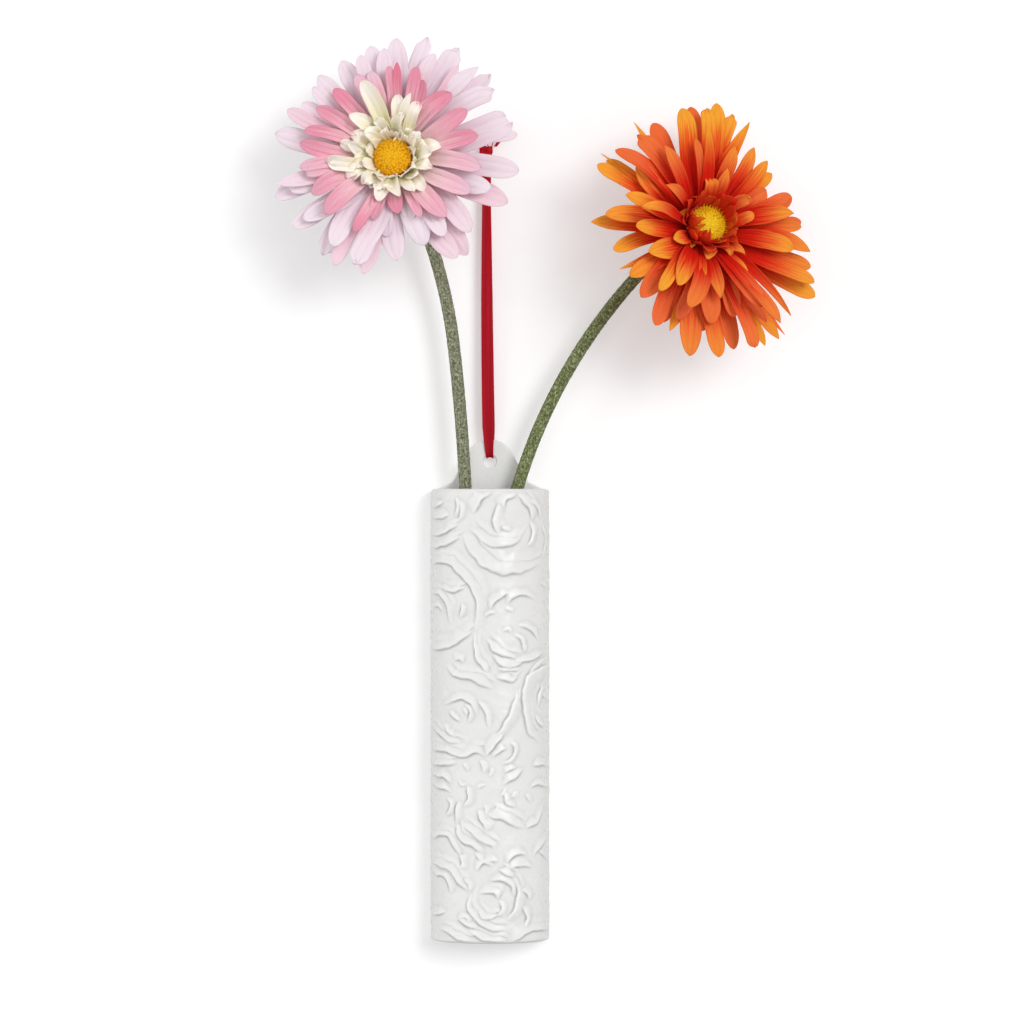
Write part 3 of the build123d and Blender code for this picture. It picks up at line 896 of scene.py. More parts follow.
PINK_MIDDLE = [
    (333, 88, 15, 0.85, ROUND), (316, 107, 14, 0.7, ROUND), (304, 129, 12, 0.75, ROUND),
    (300, 144, 16, 0.7, ROUND), (299, 167, 12, 0.35, ROUND), (306, 174, 15, 0.3, ROUND),
    (311, 193, 17, 0.6, ROUND), (325, 214, 18, 0.6, ROUND), (354, 231, 13, 0.8, ROUND),
    (373, 219, 13, 0.5, ROUND), (397, 213, 16, 0.8, ROUND), (421, 217, 10, 0.5, ROUND),
    (445, 216, 20, 0.45, ROUND), (470, 191, 18, 0.2, ROUND), (481, 168, 17, 0.25, ROUND),
    (478, 135, 17, 0.75, ROUND), (467, 110, 18, 0.7, ROUND), (451, 93, 20, 0.8, ROUND),
    (423, 80, 17, 0.75, ROUND), (417, 67, 13, 0.8, ROUND), (397, 62, 8, 1.0, POINTED),
    (389, 66, 9, 0.6, ROUND), (370, 70, 15, 0.15, ROUND), (356, 74, 15, 0.3, ROUND),
]
PINK_INNER = [
    (361, 80, 18, 0.2, ROUND), (350, 114, 17, 0.1, ROUND), (349, 132, 15, 0.1, ROUND),
    (340, 144, 12, 0.1, RAGGED), (326, 162, 15, 0.1, RAGGED), (345, 176, 12, 0.35, ROUND),
    (370, 188, 18, 0.1, ROUND), (378, 201, 16, 0.3, ROUND), (425, 189, 15, 0.15, ROUND),
    (441, 144, 16, 0.1, ROUND), (418, 99, 12, 0.25, RAGGED), (411, 93, 10, 0.2, POINTED),
    (397, 93, 15, 0.15, ROUND), (378, 100, 14, 0.1, RAGGED),
]
ORANGE_BACK = [
    (601, 153, 9, 0.95, SPIKE), (597, 165, 15, 0.9, ROUND), (592, 221, 17, 0.8, POINTED),
    (615, 249, 16, 0.9, ROUND), (620, 269, 12, 0.75, SPIKE), (656, 325, 17, 0.1, ROUND),
    # The lower petals at (690, 355) and (719, 357) take a tone between the two runs, darker than amber:
    # painted shade
    (671, 330, 13, 0.8, POINTED), (690, 355, 25, 0.45, ROUND), (719, 357, 18, 0.5, ROUND),
    (734, 349, 18, 0.15, ROUND), (766, 345, 10, 0.8, POINTED), (779, 339, 12, 0.7, POINTED),
    (785, 335, 10, 0.4, SPIKE), (816, 296, 18, 0.9, ROUND), (811, 267, 15, 0.5, ROUND),
    (802, 221, 16, 0.1, ROUND), (772, 173, 13, 0.9, ROUND), (750, 122, 18, 0.9, SPIKE),
    (733, 114, 14, 0.9, RAGGED), (718, 103, 18, 1.0, ROUND), (692, 106, 17, 0.1, ROUND),
    (654, 122, 18, 0.1, ROUND), (634, 122, 12, 0.95, SPIKE), (607, 160, 13, 0.9, ROUND),
    (663, 321, 20, 0.0, ROUND), (704, 330, 20, 0.1, ROUND),
]
ORANGE_OUTER = [
    (618, 148, 18, 0.1, ROUND), (638, 134, 18, 0.15, RAGGED), (685, 106, 20, 0.95, ROUND),
    (708, 107, 15, 0.95, RAGGED), (756, 146, 15, 0.65, POINTED), (768, 160, 15, 0.8, POINTED),
    (793, 194, 20, 0.15, ROUND), (812, 250, 17, 0.55, POINTED), (816, 281, 17, 0.75, ROUND),
    (790, 316, 12, 0.4, SPIKE), (756, 348, 15, 0.2, RAGGED), (734, 317, 18, 0.1, ROUND),
    (714, 322, 20, 0.15, ROUND), (641, 296, 20, 0.1, ROUND), (632, 274, 18, 0.7, ROUND),
    (627, 194, 18, 0.9, ROUND), (637, 165, 20, 0.65, ROUND), (801, 227, 12, 0.4, ROUND),
    (679, 318, 17, 0.0, ROUND), (785, 206, 18, 0.3, ROUND), (766, 322, 16, 0.05, POINTED),
    (768, 190, 20, 0.2, ROUND), (606, 214, 18, 0.7, ROUND),
]
ORANGE_MIDDLE = [
    (636, 226, 18, 0.85, ROUND), (649, 252, 22, 0.9, ROUND), (661, 289, 14, 1.0, ROUND),
    (677, 285, 20, 0.8, ROUND), (690, 307, 18, 0.3, ROUND), (699, 283, 13, 1.0, ROUND),
    (721, 298, 15, 0.5, POINTED), (762, 307, 18, 0.1, ROUND), (782, 322, 13, 0.35, POINTED),
    (749, 274, 12, 0.9, POINTED), (795, 248, 18, 0.75, ROUND), (795, 212, 20, 0.7, POINTED),
    (736, 145, 15, 0.6, POINTED), (706, 120, 13, 0.9, SPIKE), (696, 138, 8, 0.2, POINTED),
    (665, 145, 13, 0.35, POINTED),
]
ORANGE_INNER = [
    (680, 212, 15, 0.9, ROUND), (673, 240, 15, 0.9, ROUND), (692, 248, 10, 1.0, POINTED),
    (708, 259, 13, 0.6, ROUND), (752, 198, 13, 0.4, RAGGED), (756, 214, 12, 0.6, ROUND),
    (748, 253, 13, 0.6, SPIKE), (728, 168, 13, 0.5, POINTED), (712, 174, 13, 0.7, RAGGED),
    (646, 204, 13, 0.8, ROUND), (668, 183, 10, 0.3, POINTED), (733, 256, 12, 0.5, POINTED),
]

LAYER_NAMES = ("petals_back", "petals_outer", "petals_middle", "petals_inner", "florets")
HUB_RADIUS = 9.6 * MM
CALYX_LENGTH = 12 * MM
LAYER_STEP = 1.2 * MM
DISC_SEAT = CALYX_LENGTH + len(LAYER_NAMES) * LAYER_STEP
DISC_RADIUS, DISC_RIM = 9.5 * MM, 1.6 * MM
DISC_FLORETS, DISC_SEED = 230, 3
# Stamens: their number and how many more the bare middle would hold, how far from the middle the outermost
# stand, how thick they are, and how high their feet rise over the rim and sink in the disc
STAMENS, BARE_MIDDLE = 150, 40
STAMEN_SPREAD, STAMEN_RADIUS = 9 * MM, 0.3 * MM
STAMEN_RISE, STAMEN_SINK = 3.9 * MM, 0.5 * MM
PETAL_ROOT = 3.0 * MM
PETAL_COLUMNS = 18
PETAL_ROWS = 26

# How a layer's petals bend. Groove, cup, curl and ripple are shares of a petal's width, the arch one of its
# reach, and the twist is in radians. A frill leans inwards over the disc, most on its closed side, which is
# given in degrees.
PetalForm = namedtuple(
    "PetalForm", "groove cup arch curl ripple twist inwards closed_side", defaults=((0, 0), 0)
)
FLAT_FORM = PetalForm(0.055, (-0.10, 0.12), 0.02, (-0.05, 0.3), 0.04, 0.3)
FULL_FORM = PetalForm(0.075, (0.02, 0.24), 0.03, (-0.1, 0.4), 0.06, 0.4)
WILD_FORM = PetalForm(0.06, (0.1, 0.4), 0.05, (-0.1, 0.9), 0.14, 0.8)
PINK_FRILL = PetalForm(0.05, (0.1, 0.5), 0.05, (-0.3, 0.9), 0.2, 1.0, (-1 * MM, 5.5 * MM), -35)
ORANGE_FRILL = PINK_FRILL._replace(inwards=(3 * MM, 11 * MM), closed_side=200)

PALE = linear(239, 228, 236)
LILAC = linear(232, 213, 225)
BLUSH = linear(242, 198, 211)
ROSE = linear(227, 126, 152)
SOFT_ROSE = linear(241, 178, 193)
SHELL = linear(247, 220, 217)
CREAM = linear(254, 250, 236)
SPRING = linear(228, 226, 168)
BUTTER = linear(245, 238, 208)
AMBER = linear(244, 166, 50)
TANGERINE = linear(233, 98, 34)
SCARLET = linear(216, 28, 12)
CRIMSON = linear(168, 12, 6)
SALMON = linear(234, 101, 59)


class Head:
    """Where a flower's head is: its neck and the directions across it, up it and out of its face."""

    def __init__(self, colour):
        joint = joints[colour + "_head_turn"]
        self.neck = Vector(joint["pos_m"])
        self.out = Vector(joint["axis"]).normalized()
        self.across = Vector((0, 0, 1)).cross(self.out).normalized()
        self.upwards = self.out.cross(self.across)

    def place(self, across, upwards, out):
        """Points given in the head's own directions, as points of the frame."""
        axes = np.array([self.across[:], self.upwards[:], self.out[:]])
        return np.array(self.neck[:]) + np.stack([across, upwards, out], axis=-1) @ axes

    def place_round(self, angle, radial, sideways, out):
        """Points given by how far they lie along a spoke of the head, beside it and out of the face."""
        across = radial * math.cos(angle) - sideways * math.sin(angle)
        upwards = radial * math.sin(angle) + sideways * math.cos(angle)
        return self.place(across, upwards, out)

    def aim(self, height, rise, column, row):
        """Where a tip that rises at this angle has to lie for the camera to see it at this pixel."""
        ray = pixel_ray(column, row)
        lift = 0.0
        for _ in range(6):
            middle = self.neck + self.out * (height + lift)
            share = (middle - CAMERA).dot(self.out) / ray.dot(self.out)
            spot = CAMERA + ray * share - middle
            across, upwards = spot.dot(self.across), spot.dot(self.upwards)
            lift = max(0.0, math.hypot(across, upwards) - HUB_RADIUS) * math.tan(math.radians(rise))
        return across, upwards, lift


def petal_outline(along, kind, width, reach):
    """The petal's half-width along its length, as a share of its greatest half-width."""
    body = 0.46 + 0.54 * smooth_step(0.02, 0.62, along)
    if kind == SPIKE:
        return np.maximum(0.03, (0.5 + 0.5 * smooth_step(0.0, 0.35, along)) * (1 - along**3.2) ** 0.9)
    tip_length = {ROUND: 2.3, POINTED: 3.6, RAGGED: 1.1}[kind] * width / reach
    past = np.clip((along - (1 - tip_length)) / tip_length, 0, 1)
    end = (1 - past**2.1) ** (0.55 if kind != POINTED else 0.85)
    return np.maximum(0.04, body * end)


def bend_petal(head, height, tip, width, kind, tone, rng, form):
    """The points of one petal, from the head's middle to its tip."""
    across_tip, upwards_tip, lift = tip
    reach = math.hypot(across_tip, upwards_tip)
    angle = math.atan2(upwards_tip, across_tip)
    side, step = np.meshgrid(np.linspace(-1, 1, PETAL_COLUMNS + 1), np.linspace(0, 1, PETAL_ROWS + 1))
    along = 1 - (1 - step) ** 1.35
    half = width / 2 * petal_outline(along, kind, width / 2, reach)
    radial = PETAL_ROOT + (reach - PETAL_ROOT) * along
    if kind == RAGGED:
        notch = np.abs(np.sin(side * (3.3 + rng.uniform(-0.4, 0.4)) + rng.uniform(0, 6)))
        radial = radial - width * 0.26 * notch * along**7
    share = np.clip((radial - HUB_RADIUS) / max(reach - HUB_RADIUS, MM), 0, 1)
    out = height + lift * (1 - (1 - share) ** 1.55)
    middle = np.sin(math.pi * np.clip(along, 0, 1)) ** 0.7
    groove = sum(np.exp(-(((side - place) / 0.12) ** 2)) for place in (-0.38, 0.36))
    out -= form.groove * width * groove * middle
    out += rng.uniform(*form.cup) * width * side**2 * middle
    out += form.arch * rng.uniform(0.4, 1.4) * reach * middle * share
    out -= rng.uniform(*form.curl) * width * np.clip((along - 0.72) / 0.28, 0, 1) ** 2
    phase = rng.uniform(0, 2 * math.pi)
    out += form.ripple * width * np.abs(side) ** 1.5 * np.sin(phase + 9 * along + 2 * np.sign(side)) * along
    leaning = 0.25 + 0.75 * max(0.0, math.cos(angle - math.radians(form.closed_side)))
    radial = radial - rng.uniform(*form.inwards) * leaning * share**2
    sideways = side * half
    twist = rng.uniform(-form.twist, form.twist) * along
    out += sideways * np.sin(twist)
    sway = rng.uniform(-0.35, 0.35) * width * np.sin(math.pi * along)
    sideways = sideways * np.cos(twist) + sway
    shades = {"along": along, "edge": np.abs(side), "tone": np.full(side.shape, tone)}
    return head.place_round(angle, radial, sideways, out), shades


def layer_height(layer):
    """How far in front of the neck a layer lies."""
    return CALYX_LENGTH + (LAYER_NAMES.index(layer) + 0.5) * LAYER_STEP


def make_layer(head, colour, layer, petals, form, settings, material):
    """One layer of petals: each is bent from the same flat grid, then all are joined."""
    rng = np.random.default_rng(settings.seed * 10 + LAYER_NAMES.index(layer) + 100 * len(colour))
    flat = grid_piece(PETAL_COLUMNS, PETAL_ROWS)
    made = []
    for number, (tip, width, tone, kind) in enumerate(petals):
        petal = copy_of(flat)
        height = layer_height(layer) + (0.35 if number % 2 else -0.25) * MM
        points, shades = bend_petal(head, height, tip, width, kind, tone, rng, form)
        move_points(petal, points)
        shades["petal"] = np.full(points.shape[:2], number / len(petals))
        for name, values in shades.items():
            set_attribute(petal, name, values.ravel())
        made.append(petal)
    whole = joined(flat, made)
    apply_modifier(whole, "SOLIDIFY", thickness=settings.petal_thickness, offset=0.0)
    face_outwards(whole)
    name = colour + "_" + layer
    return finish_piece(whole, name + "_fabric", colour + "_head", material, [name])


def seen_petals(head, layer, rise, rows):
    """Petals whose tips and widths are read from the photo."""
    height = layer_height(layer)
    return [
        (head.aim(height, rise, column, row), width * PIXEL, tone, kind)
        for column, row, width, tone, kind in rows
    ]


def ring_petals(seed, count, reaches, width, rises, tones, kinds):
    """Petals that stand round the disc in two staggered rings, with small differences."""
    rng = np.random.default_rng(seed)
    petals = []
    for index in range(count):
        angle = 2 * math.pi * (index + rng.uniform(-0.25, 0.25)) / count
        length = reaches[index % 2] * rng.uniform(0.85, 1.12)
        lift = length * math.tan(math.radians(rises[index % 2] + rng.uniform(-7, 7))) * 0.7
        tip = (length * math.cos(angle), length * math.sin(angle), lift)
        petals.append((tip, width * rng.uniform(0.75, 1.2), rng.uniform(*tones), kinds[index % len(kinds)]))
    return petals


def petal_fabric(name, plain, toned, edge_colour, edge_share, streak_share=0.3, roughness=0.72):
    """Printed polyester: a run of colours from hub to tip, chosen by the petal's tone, long streaks, and
    painted shade along its grooves.
    """
    shade = Shade(name, roughness, Sheen_Weight=0.02, Sheen_Roughness=0.5, Specular_IOR_Level=0.08)
    along = shade.attribute("along")
    edge = shade.attribute("edge")
    apart = shade.math("MULTIPLY", shade.attribute("petal"), 53.0)
    place = shade.add("ShaderNodeCombineXYZ", {"X": along, "Y": edge, "Z": apart}).outputs[0]
    streak = shade.noise(shade.stretched(place, (2.2, 9.0, 1.0)), 1.0, 4.0, 0.6)
    uneven = shade.math("ADD", along, shade.grey(streak, 0.3, 0.7, -0.13, 0.13))
    run = shade.mix(shade.attribute("tone"), shade.ramp(uneven, *plain), shade.ramp(uneven, *toned))
    dark = shade.mix(1.0, run, (0.8, 0.72, 0.74, 1.0), "MULTIPLY")
    streaked = shade.mix(shade.grey(streak, 0.5, 0.75, 0.0, streak_share), run, dark)
    # Painted shade: along the petal's two grooves the colour darkens towards the edge colour
    fold = shade.math("ABSOLUTE", shade.math("SUBTRACT", edge, 0.37))
    outer = shade.grey(along, 0.32, 0.66)
    crease_shade = shade.grey(fold, 0.0, 0.09, 0.55 * edge_share + 0.15, 0.0)
    streaked = shade.mix(shade.math("MULTIPLY", crease_shade, outer), streaked, edge_colour)
    rim = shade.math("MULTIPLY", shade.grey(edge, 0.86, 1.0, 0.0, edge_share), outer)
    shade.link(shade.mix(rim, streaked, edge_colour), "Base Color")
    weave = shade.noise(shade.coordinates(), 1500.0, 2.0)
    shade.link(shade.bump(weave, 0.06 * MM, 0.5, shade.bump(streak, 0.35 * MM, 0.5)), "Normal")
    return shade.material


def make_disc(head, colour, material, bump, tall):
    """The domed button in the middle, its florets set on the golden angle."""
    bpy.ops.mesh.primitive_uv_sphere_add(segments=120, ring_count=80, radius=1)
    disc = bpy.context.object
    x, y, z = points_of(disc).T
    across, upwards, from_middle = x * DISC_RADIUS, y * DISC_RADIUS, np.hypot(x, y)
    dome = DISC_RIM + (tall - DISC_RIM) * np.maximum(z, 0) ** 0.9
    out = np.where(z > 0, dome, DISC_RIM * np.clip(1 + 4 * z, 0, 1))
    florets = np.arange(1, DISC_FLORETS)
    reach = DISC_RADIUS * np.sqrt(florets / DISC_FLORETS) * 0.98
    rng = np.random.default_rng(DISC_SEED)
    angle = florets * GOLDEN_ANGLE + rng.normal(0, 0.35 * MM, len(florets)) / reach
    reach = reach + rng.normal(0, 0.12 * MM, len(florets))
    front = z > 0.02
    gaps = np.hypot(
        across[front, None] - reach * np.cos(angle), upwards[front, None] - reach * np.sin(angle)
    )
    nearest = np.full(len(z), 1.0)
    nearest[front] = gaps.min(axis=1)
    knob = np.exp(-((nearest / (0.4 * MM)) ** 2))
    out = out + bump * knob * (1 - 0.4 * from_middle)
    move_points(disc, head.place(across, upwards, DISC_SEAT + out))
    set_attribute(disc, "knob", knob)
    set_attribute(disc, "middle", from_middle)
    name = colour + "_disc"
    return finish_piece(disc, name + "_florets", colour + "_head", material, [name])


def disc_fabric(name, gap_shade_colour, high_colour, middle_colour):
    """Flocked florets: bright knobs with darker gaps of painted shade, brightest in the middle of the disc."""
    shade = Shade(name, 0.8, Specular_IOR_Level=0.15)
    knob = shade.attribute("knob")
    grain = shade.noise(shade.coordinates(), 1300.0, 3.0)
    value = shade.math("ADD", shade.math("MULTIPLY", knob, 0.65), shade.math("MULTIPLY", grain, 0.45))
    # The darker colour fills the gaps between the knobs as painted shade
    stippled = shade.mix(shade.grey(value, 0.15, 0.75), gap_shade_colour, high_colour)
    middle = shade.grey(shade.attribute("middle"), 0.0, 0.7, 0.5, 0.0)
    shade.link(shade.mix(middle, stippled, middle_colour), "Base Color")
    shade.link(shade.bump(grain, 0.3 * MM, 0.8), "Normal")
    return shade.material


def make_stamens(head, colour, settings, material):
    """Thin pointed stamens that stand up round the disc's edge."""
    rng = np.random.default_rng(settings.seed + 40)
    clear_selection()
    bpy.ops.mesh.primitive_cone_add(vertices=6, radius1=1, radius2=0.12, depth=1)
    model = bpy.context.object
    x, y, z = points_of(model).T
    made = []
    for index in range(STAMENS):
        spread = math.sqrt((index + BARE_MIDDLE) / (STAMENS + BARE_MIDDLE))
        lean = 0.35 + 0.5 * spread + rng.uniform(-0.15, 0.15)
        height = (z + 0.5) * rng.uniform(2.0, 3.4) * MM
        base = DISC_RIM + STAMEN_RISE * math.sqrt(max(0.0, 1 - spread**2)) - STAMEN_SINK
        radial = STAMEN_SPREAD * spread + height * math.sin(lean) + x * STAMEN_RADIUS
        out = DISC_SEAT + base + height * math.cos(lean)
        stamen = copy_of(model)
        move_points(stamen, head.place_round(index * GOLDEN_ANGLE, radial, y * STAMEN_RADIUS, out))
        # Each stamen darkens towards its foot: painted shade among the stamens
        set_attribute(stamen, "knob", np.clip(z + 0.5, 0, 1))
        set_attribute(stamen, "middle", np.full(len(z), 1.0))
        made.append(stamen)
    whole = joined(model, made)
    face_outwards(whole)
    return finish_piece(whole, colour + "_stamens", colour + "_head", material)


def calyx_plastic():
    """The moulded green cup behind the petals, ribbed a little like sepals."""
    shade = Shade("calyx plastic", 0.6)
    grain = shade.noise(shade.coordinates(), 260.0, 3.0)
    shade.link(shade.mix(shade.grey(grain, 0.3, 0.7), linear(74, 96, 44), linear(104, 126, 60)), "Base Color")
    shade.link(shade.bump(grain, 0.3 * MM, 0.5), "Normal")
    return shade.material


def dress_head(colour, settings, seen_layers, frill):
    """One head's layers: four of petals that the photo shows, then the frill round the disc."""
    head = Head(colour)
    for layer, (rise, rows, *dress) in zip(LAYER_NAMES, seen_layers):
        form, material, slot = dress
        petals = seen_petals(head, layer, rise, rows)
        make_layer(head, colour, layer, petals, form, settings, material)
    petals, form, material, slot = frill
    make_layer(head, colour, "florets", petals, form, settings, material)
    dress_node(colour + "_calyx", calyx_plastic())
    return head


def dress_pink(settings):
    pale = petal_fabric(
        "pale pink fabric",
        [(0.0, BLUSH), (0.35, LILAC), (0.75, PALE), (1.0, PALE)],
        [(0.0, ROSE), (0.4, BLUSH), (0.8, SOFT_ROSE), (1.0, BLUSH)],
        BLUSH,
        0.38,
    )
    pink = petal_fabric(
        "pink fabric",
        [(0.0, CREAM), (0.4, SHELL), (0.8, BLUSH), (1.0, LILAC)],
        [(0.0, CREAM), (0.28, SHELL), (0.55, SOFT_ROSE), (0.85, ROSE), (1.0, ROSE)],
        ROSE,
        0.3,
        0.4,
    )
    cream = petal_fabric(
        "cream fabric",
        [(0.0, SPRING), (0.42, SPRING), (0.62, BUTTER), (0.82, CREAM)],
        [(0.0, SPRING), (0.4, CREAM), (0.8, SHELL), (1.0, BLUSH)],
        SHELL,
        0.2,
        0.25,
    )
    seen_layers = (
        (6, PINK_BACK, FLAT_FORM, pale, "pale_pink_petal"),
        (12, PINK_OUTER, FLAT_FORM, pale, "pale_pink_petal"),
        (21, PINK_MIDDLE, FULL_FORM, pink, "pink_petal"),
        (34, PINK_INNER, WILD_FORM, cream, "cream_petal"),
    )
    kinds = (RAGGED, RAGGED, ROUND, POINTED)
    ring = ring_petals(settings.seed, 38, (20.5 * MM, 14.5 * MM), 8 * MM, (36, 48), (0.0, 0.2), kinds)
    head = dress_head("pink", settings, seen_layers, (ring, PINK_FRILL, cream, "cream_petal"))
    golden = disc_fabric("golden disc", linear(190, 118, 6), linear(246, 186, 22), linear(250, 196, 30))
    make_disc(head, "pink", golden, 0.35 * MM, 6.4 * MM)


def dress_orange(settings):
    amber_run = [(0.0, CRIMSON), (0.53, SCARLET), (0.7, TANGERINE), (0.87, AMBER), (1.0, AMBER)]
    salmon_run = [(0.0, CRIMSON), (0.5, SCARLET), (0.76, SALMON), (1.0, SALMON)]
    warm = petal_fabric("orange fabric", salmon_run, amber_run, TANGERINE, 0.5, 0.6, 0.66)
    red = petal_fabric(
        "red fabric",
        [(0.0, CRIMSON), (0.6, SCARLET), (1.0, SCARLET)],
        [(0.0, CRIMSON), (0.4, SCARLET), (0.75, TANGERINE), (1.0, AMBER)],
        TANGERINE,
        0.25,
        0.5,
        0.66,
    )
    seen_layers = (
        (4, ORANGE_BACK, FLAT_FORM, warm, "amber_petal"),
        (14, ORANGE_OUTER, FULL_FORM, warm, "orange_petal"),
        (27, ORANGE_MIDDLE, FULL_FORM, warm, "orange_petal"),
        (41, ORANGE_INNER, WILD_FORM, warm, "red_orange_petal"),
    )
    kinds = (POINTED, RAGGED, ROUND, RAGGED)
    ring = ring_petals(settings.seed + 5, 36, (17.5 * MM, 14 * MM), 6 * MM, (40, 54), (0.0, 0.4), kinds)
    head = dress_head("orange", settings, seen_layers, (ring, ORANGE_FRILL, red, "red_petal"))
    yellow = disc_fabric("yellow disc", linear(206, 142, 8), linear(248, 214, 30), linear(250, 220, 50))
    make_disc(head, "orange", yellow, 0.4 * MM, 5.6 * MM)
    make_stamens(head, "orange", settings, yellow)


# Lights: where each stands as seen from the vase, its share of the key light's strength and its width in
# degrees. Only the key light casts shadows; the others fill the sides, as white screens round the vase would.
LIGHTS = [
    ("key_light", (0.62, -1.0, 0.34), 1.0, 26),
    ("front_fill", (0.0, -1.0, 0.2), 0.36, 60),
    ("left_fill", (-1.0, -0.18, 0.1), 1.0, 60),
    ("right_fill", (1.0, -0.18, 0.1), 0.15, 60),
    ("back_fill", (0.2, 1.0, 0.3), 0.7, 60),
]
# Stage: the side of its wall and of its floor, the wall's gap to the vase, the floor's height and their colour
STAGE_SIZE = 6
WALL_GAP = 2 * MM
FLOOR_Z = -0.9
PAPER = (0.76, 0.76, 0.76, 1.0)


def bare_nodes(owner):
    """The emptied node tree of a material or a world."""
    owner.use_nodes = True
    owner.node_tree.nodes.clear()
    return Nodes(owner.node_tree)


def stage_paper(name, brightness):
    """White paper: it keeps the soft shadow, looks brighter to the camera and is clear from the back."""
    material = bpy.data.materials.new(name)
    nodes = bare_nodes(material)
    camera_ray = nodes.add("ShaderNodeLightPath").outputs["Is Camera Ray"]
    paper = nodes.add("ShaderNodeBsdfDiffuse", {"Color": PAPER}).outputs[0]
    strength = nodes.math("MULTIPLY", camera_ray, brightness)
    glow = nodes.add("ShaderNodeEmission", {"Strength": strength}).outputs[0]
    both = nodes.add("ShaderNodeAddShader", {0: paper, 1: glow}).outputs[0]
    clear = nodes.add("ShaderNodeBsdfTransparent").outputs[0]
    back = nodes.add("ShaderNodeNewGeometry").outputs["Backfacing"]
    side = nodes.add("ShaderNodeMixShader", {0: back, 1: both, 2: clear}).outputs[0]
    nodes.add("ShaderNodeOutputMaterial", {"Surface": side})
    return material


def light_room(scene, strength):
    """Even white light, which the camera, gloss and clear things see as plain white."""
    scene.world = bpy.data.worlds.new("room")
    nodes = bare_nodes(scene.world)
    rays = nodes.add("ShaderNodeLightPath").outputs
    seen = nodes.math("MAXIMUM", rays["Is Camera Ray"], rays["Is Glossy Ray"])
    seen = nodes.math("MAXIMUM", seen, rays["Is Transmission Ray"])
    inputs = {"Color": (1.0, 1.0, 1.0, 1.0), "Strength": nodes.grey(seen, 0.0, 1.0, strength, 1.0)}
    background = nodes.add("ShaderNodeBackground", inputs).outputs[0]
    nodes.add("ShaderNodeOutputWorld", {"Surface": background})


def make_stage(settings):
    """The wall and the floor, the even light of the room, the lamps and the camera."""
    bpy.ops.mesh.primitive_plane_add(size=STAGE_SIZE, location=(0, WALL_GAP, 0), rotation=(math.pi / 2, 0, 0))
    wall = bpy.context.object
    bpy.ops.mesh.primitive_plane_add(size=STAGE_SIZE, location=(0, WALL_GAP - STAGE_SIZE / 2, FLOOR_Z))
    floor = bpy.context.object
    for piece, name, brightness in ((wall, "wall", 0.28), (floor, "floor", 0.42)):
        piece.name = name
        piece.data.materials.append(stage_paper(name + " paper", brightness))
        piece.visible_shadow = False
        piece.visible_diffuse = False
    scene = bpy.context.scene
    light_room(scene, settings.room_light)
    for name, towards, share, spread in LIGHTS:
        bpy.ops.object.light_add(type="SUN", location=towards)
        lamp = bpy.context.object
        lamp.name = name
        lamp.data.angle = math.radians(spread)
        lamp.data.energy = settings.key_light * share
        lamp.data.cycles.cast_shadow = name == "key_light"
        lamp.visible_glossy = name == "key_light"
        lamp.rotation_euler = Vector(towards).to_track_quat("Z", "Y").to_euler()
    bpy.ops.object.camera_add(location=CAMERA, rotation=(math.pi / 2, 0, 0))
    camera = bpy.context.object
    camera.data.angle = 2 * math.atan(PICTURE * PIXEL / 2 / -CAMERA.y)
    scene.camera = camera
    scene.view_settings.view_transform = "Standard"


class OBJECT_OT_rose_vase(bpy.types.Operator):
    """Glaze the porcelain tube and raise the roses on its bow"""

    bl_idname = "object.rose_vase"
    bl_label = "Porcelain vase"

    def execute(self, context):
        glaze = porcelain_glaze(context.scene.vase_settings.glaze)
        dress_node("vase_body", glaze)
        make_relief(context.scene.vase_settings, glaze)
        return {"FINISHED"}


class OBJECT_OT_vase_ribbon(bpy.types.Operator):
    """Hang the satin ribbon through the tab's hole and tie its knot"""

    bl_idname = "object.vase_ribbon"
    bl_label = "Satin ribbon"

    def execute(self, context):
        make_ribbon(context.scene.ribbon_settings)
        return {"FINISHED"}


class OBJECT_OT_flower_stems(bpy.types.Operator):
    """Bend both flocked stems and finish the ends of their wires"""

    bl_idname = "object.flower_stems"
    bl_label = "Flocked stems"

    def execute(self, context):
        settings = context.scene.flower_settings
        wire = steel()
        for colour, (name, *greens) in FLOCKS.items():
            make_stem(colour, settings, flock(name, *greens))
            dress_node(colour + "_stem_wire", wire)
        return {"FINISHED"}


class OBJECT_OT_pink_flower(bpy.types.Operator):
    """Bend the pink flower's petals, layer by layer, and set its golden disc"""

    bl_idname = "object.pink_flower"
    bl_label = "Pink flower"

    def execute(self, context):
        dress_pink(context.scene.flower_settings)
        return {"FINISHED"}


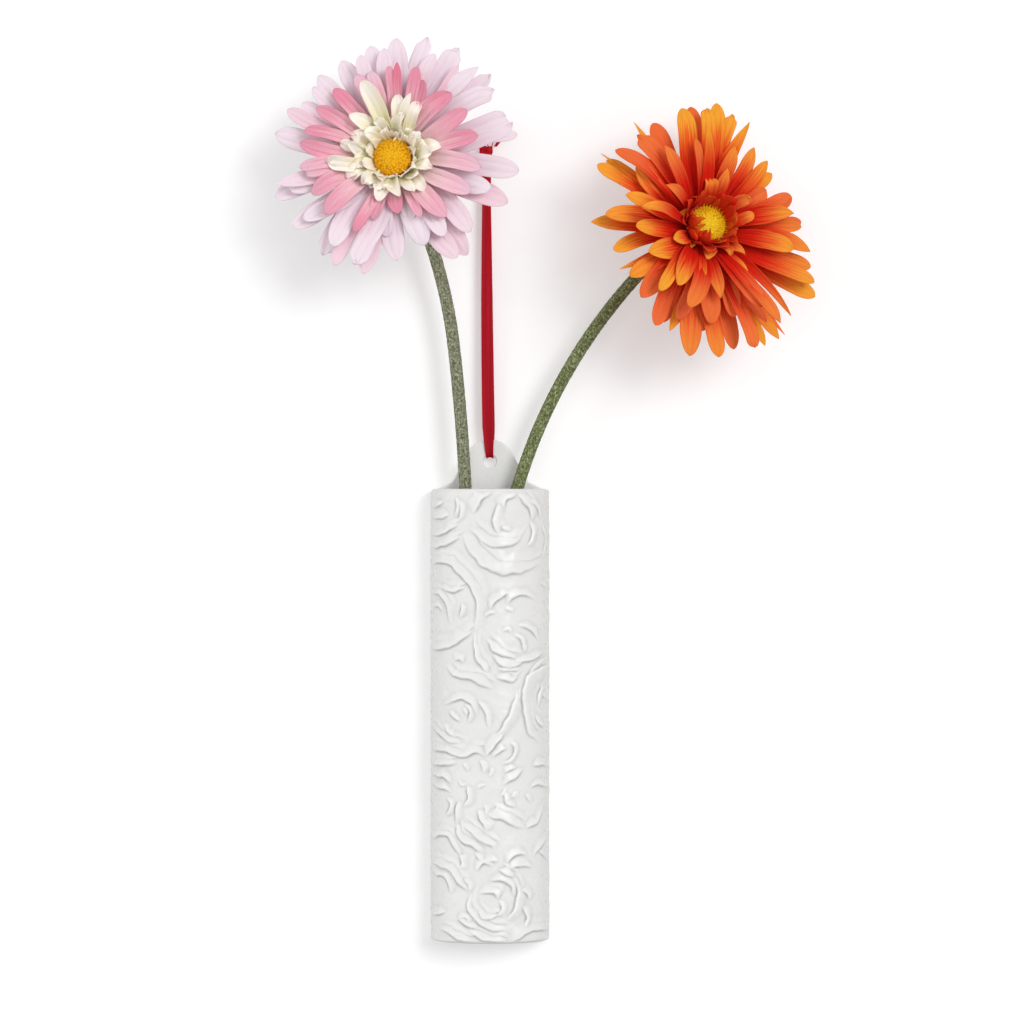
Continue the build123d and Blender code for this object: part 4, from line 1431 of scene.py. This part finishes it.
class OBJECT_OT_orange_flower(bpy.types.Operator):
    """Bend the orange flower's petals, layer by layer, and set its disc and stamens"""

    bl_idname = "object.orange_flower"
    bl_label = "Orange flower"

    def execute(self, context):
        dress_orange(context.scene.flower_settings)
        return {"FINISHED"}


class OBJECT_OT_vase_stage(bpy.types.Operator):
    """Set the white wall, the floor, the lights and the camera"""

    bl_idname = "object.vase_stage"
    bl_label = "Wall, light and camera"

    def execute(self, context):
        make_stage(context.scene.stage_settings)
        return {"FINISHED"}


OPERATORS = (
    OBJECT_OT_rose_vase,
    OBJECT_OT_vase_ribbon,
    OBJECT_OT_flower_stems,
    OBJECT_OT_pink_flower,
    OBJECT_OT_orange_flower,
    OBJECT_OT_vase_stage,
)
SETTINGS = {
    "vase_settings": VaseSettings,
    "ribbon_settings": RibbonSettings,
    "flower_settings": FlowerSettings,
    "stage_settings": StageSettings,
}


class VIEW3D_PT_rose_vase(bpy.types.Panel):
    """The vase's settings and the buttons that make its pieces"""

    bl_label = "Rose wall vase"
    bl_idname = "VIEW3D_PT_rose_vase"
    bl_space_type = "VIEW_3D"
    bl_region_type = "UI"
    bl_category = "Vase"

    def draw(self, context):
        for name, group in SETTINGS.items():
            box = self.layout.box()
            for key in group.__annotations__:
                box.prop(getattr(context.scene, name), key)
        for operator in OPERATORS:
            self.layout.operator(operator.bl_idname)


def register():
    for group in SETTINGS.values():
        bpy.utils.register_class(group)
    for operator in (*OPERATORS, VIEW3D_PT_rose_vase):
        bpy.utils.register_class(operator)
    for name, group in SETTINGS.items():
        setattr(bpy.types.Scene, name, PointerProperty(type=group))


def unregister():
    for name in SETTINGS:
        delattr(bpy.types.Scene, name)
    for operator in (VIEW3D_PT_rose_vase, *reversed(OPERATORS)):
        bpy.utils.unregister_class(operator)
    for group in reversed(SETTINGS.values()):
        bpy.utils.unregister_class(group)


def main():
    register()
    bpy.ops.object.rose_vase()
    bpy.ops.object.vase_ribbon()
    bpy.ops.object.flower_stems()
    bpy.ops.object.pink_flower()
    bpy.ops.object.orange_flower()
    bpy.ops.object.vase_stage()
    clear_selection()


if __name__ == "__main__":
    main()
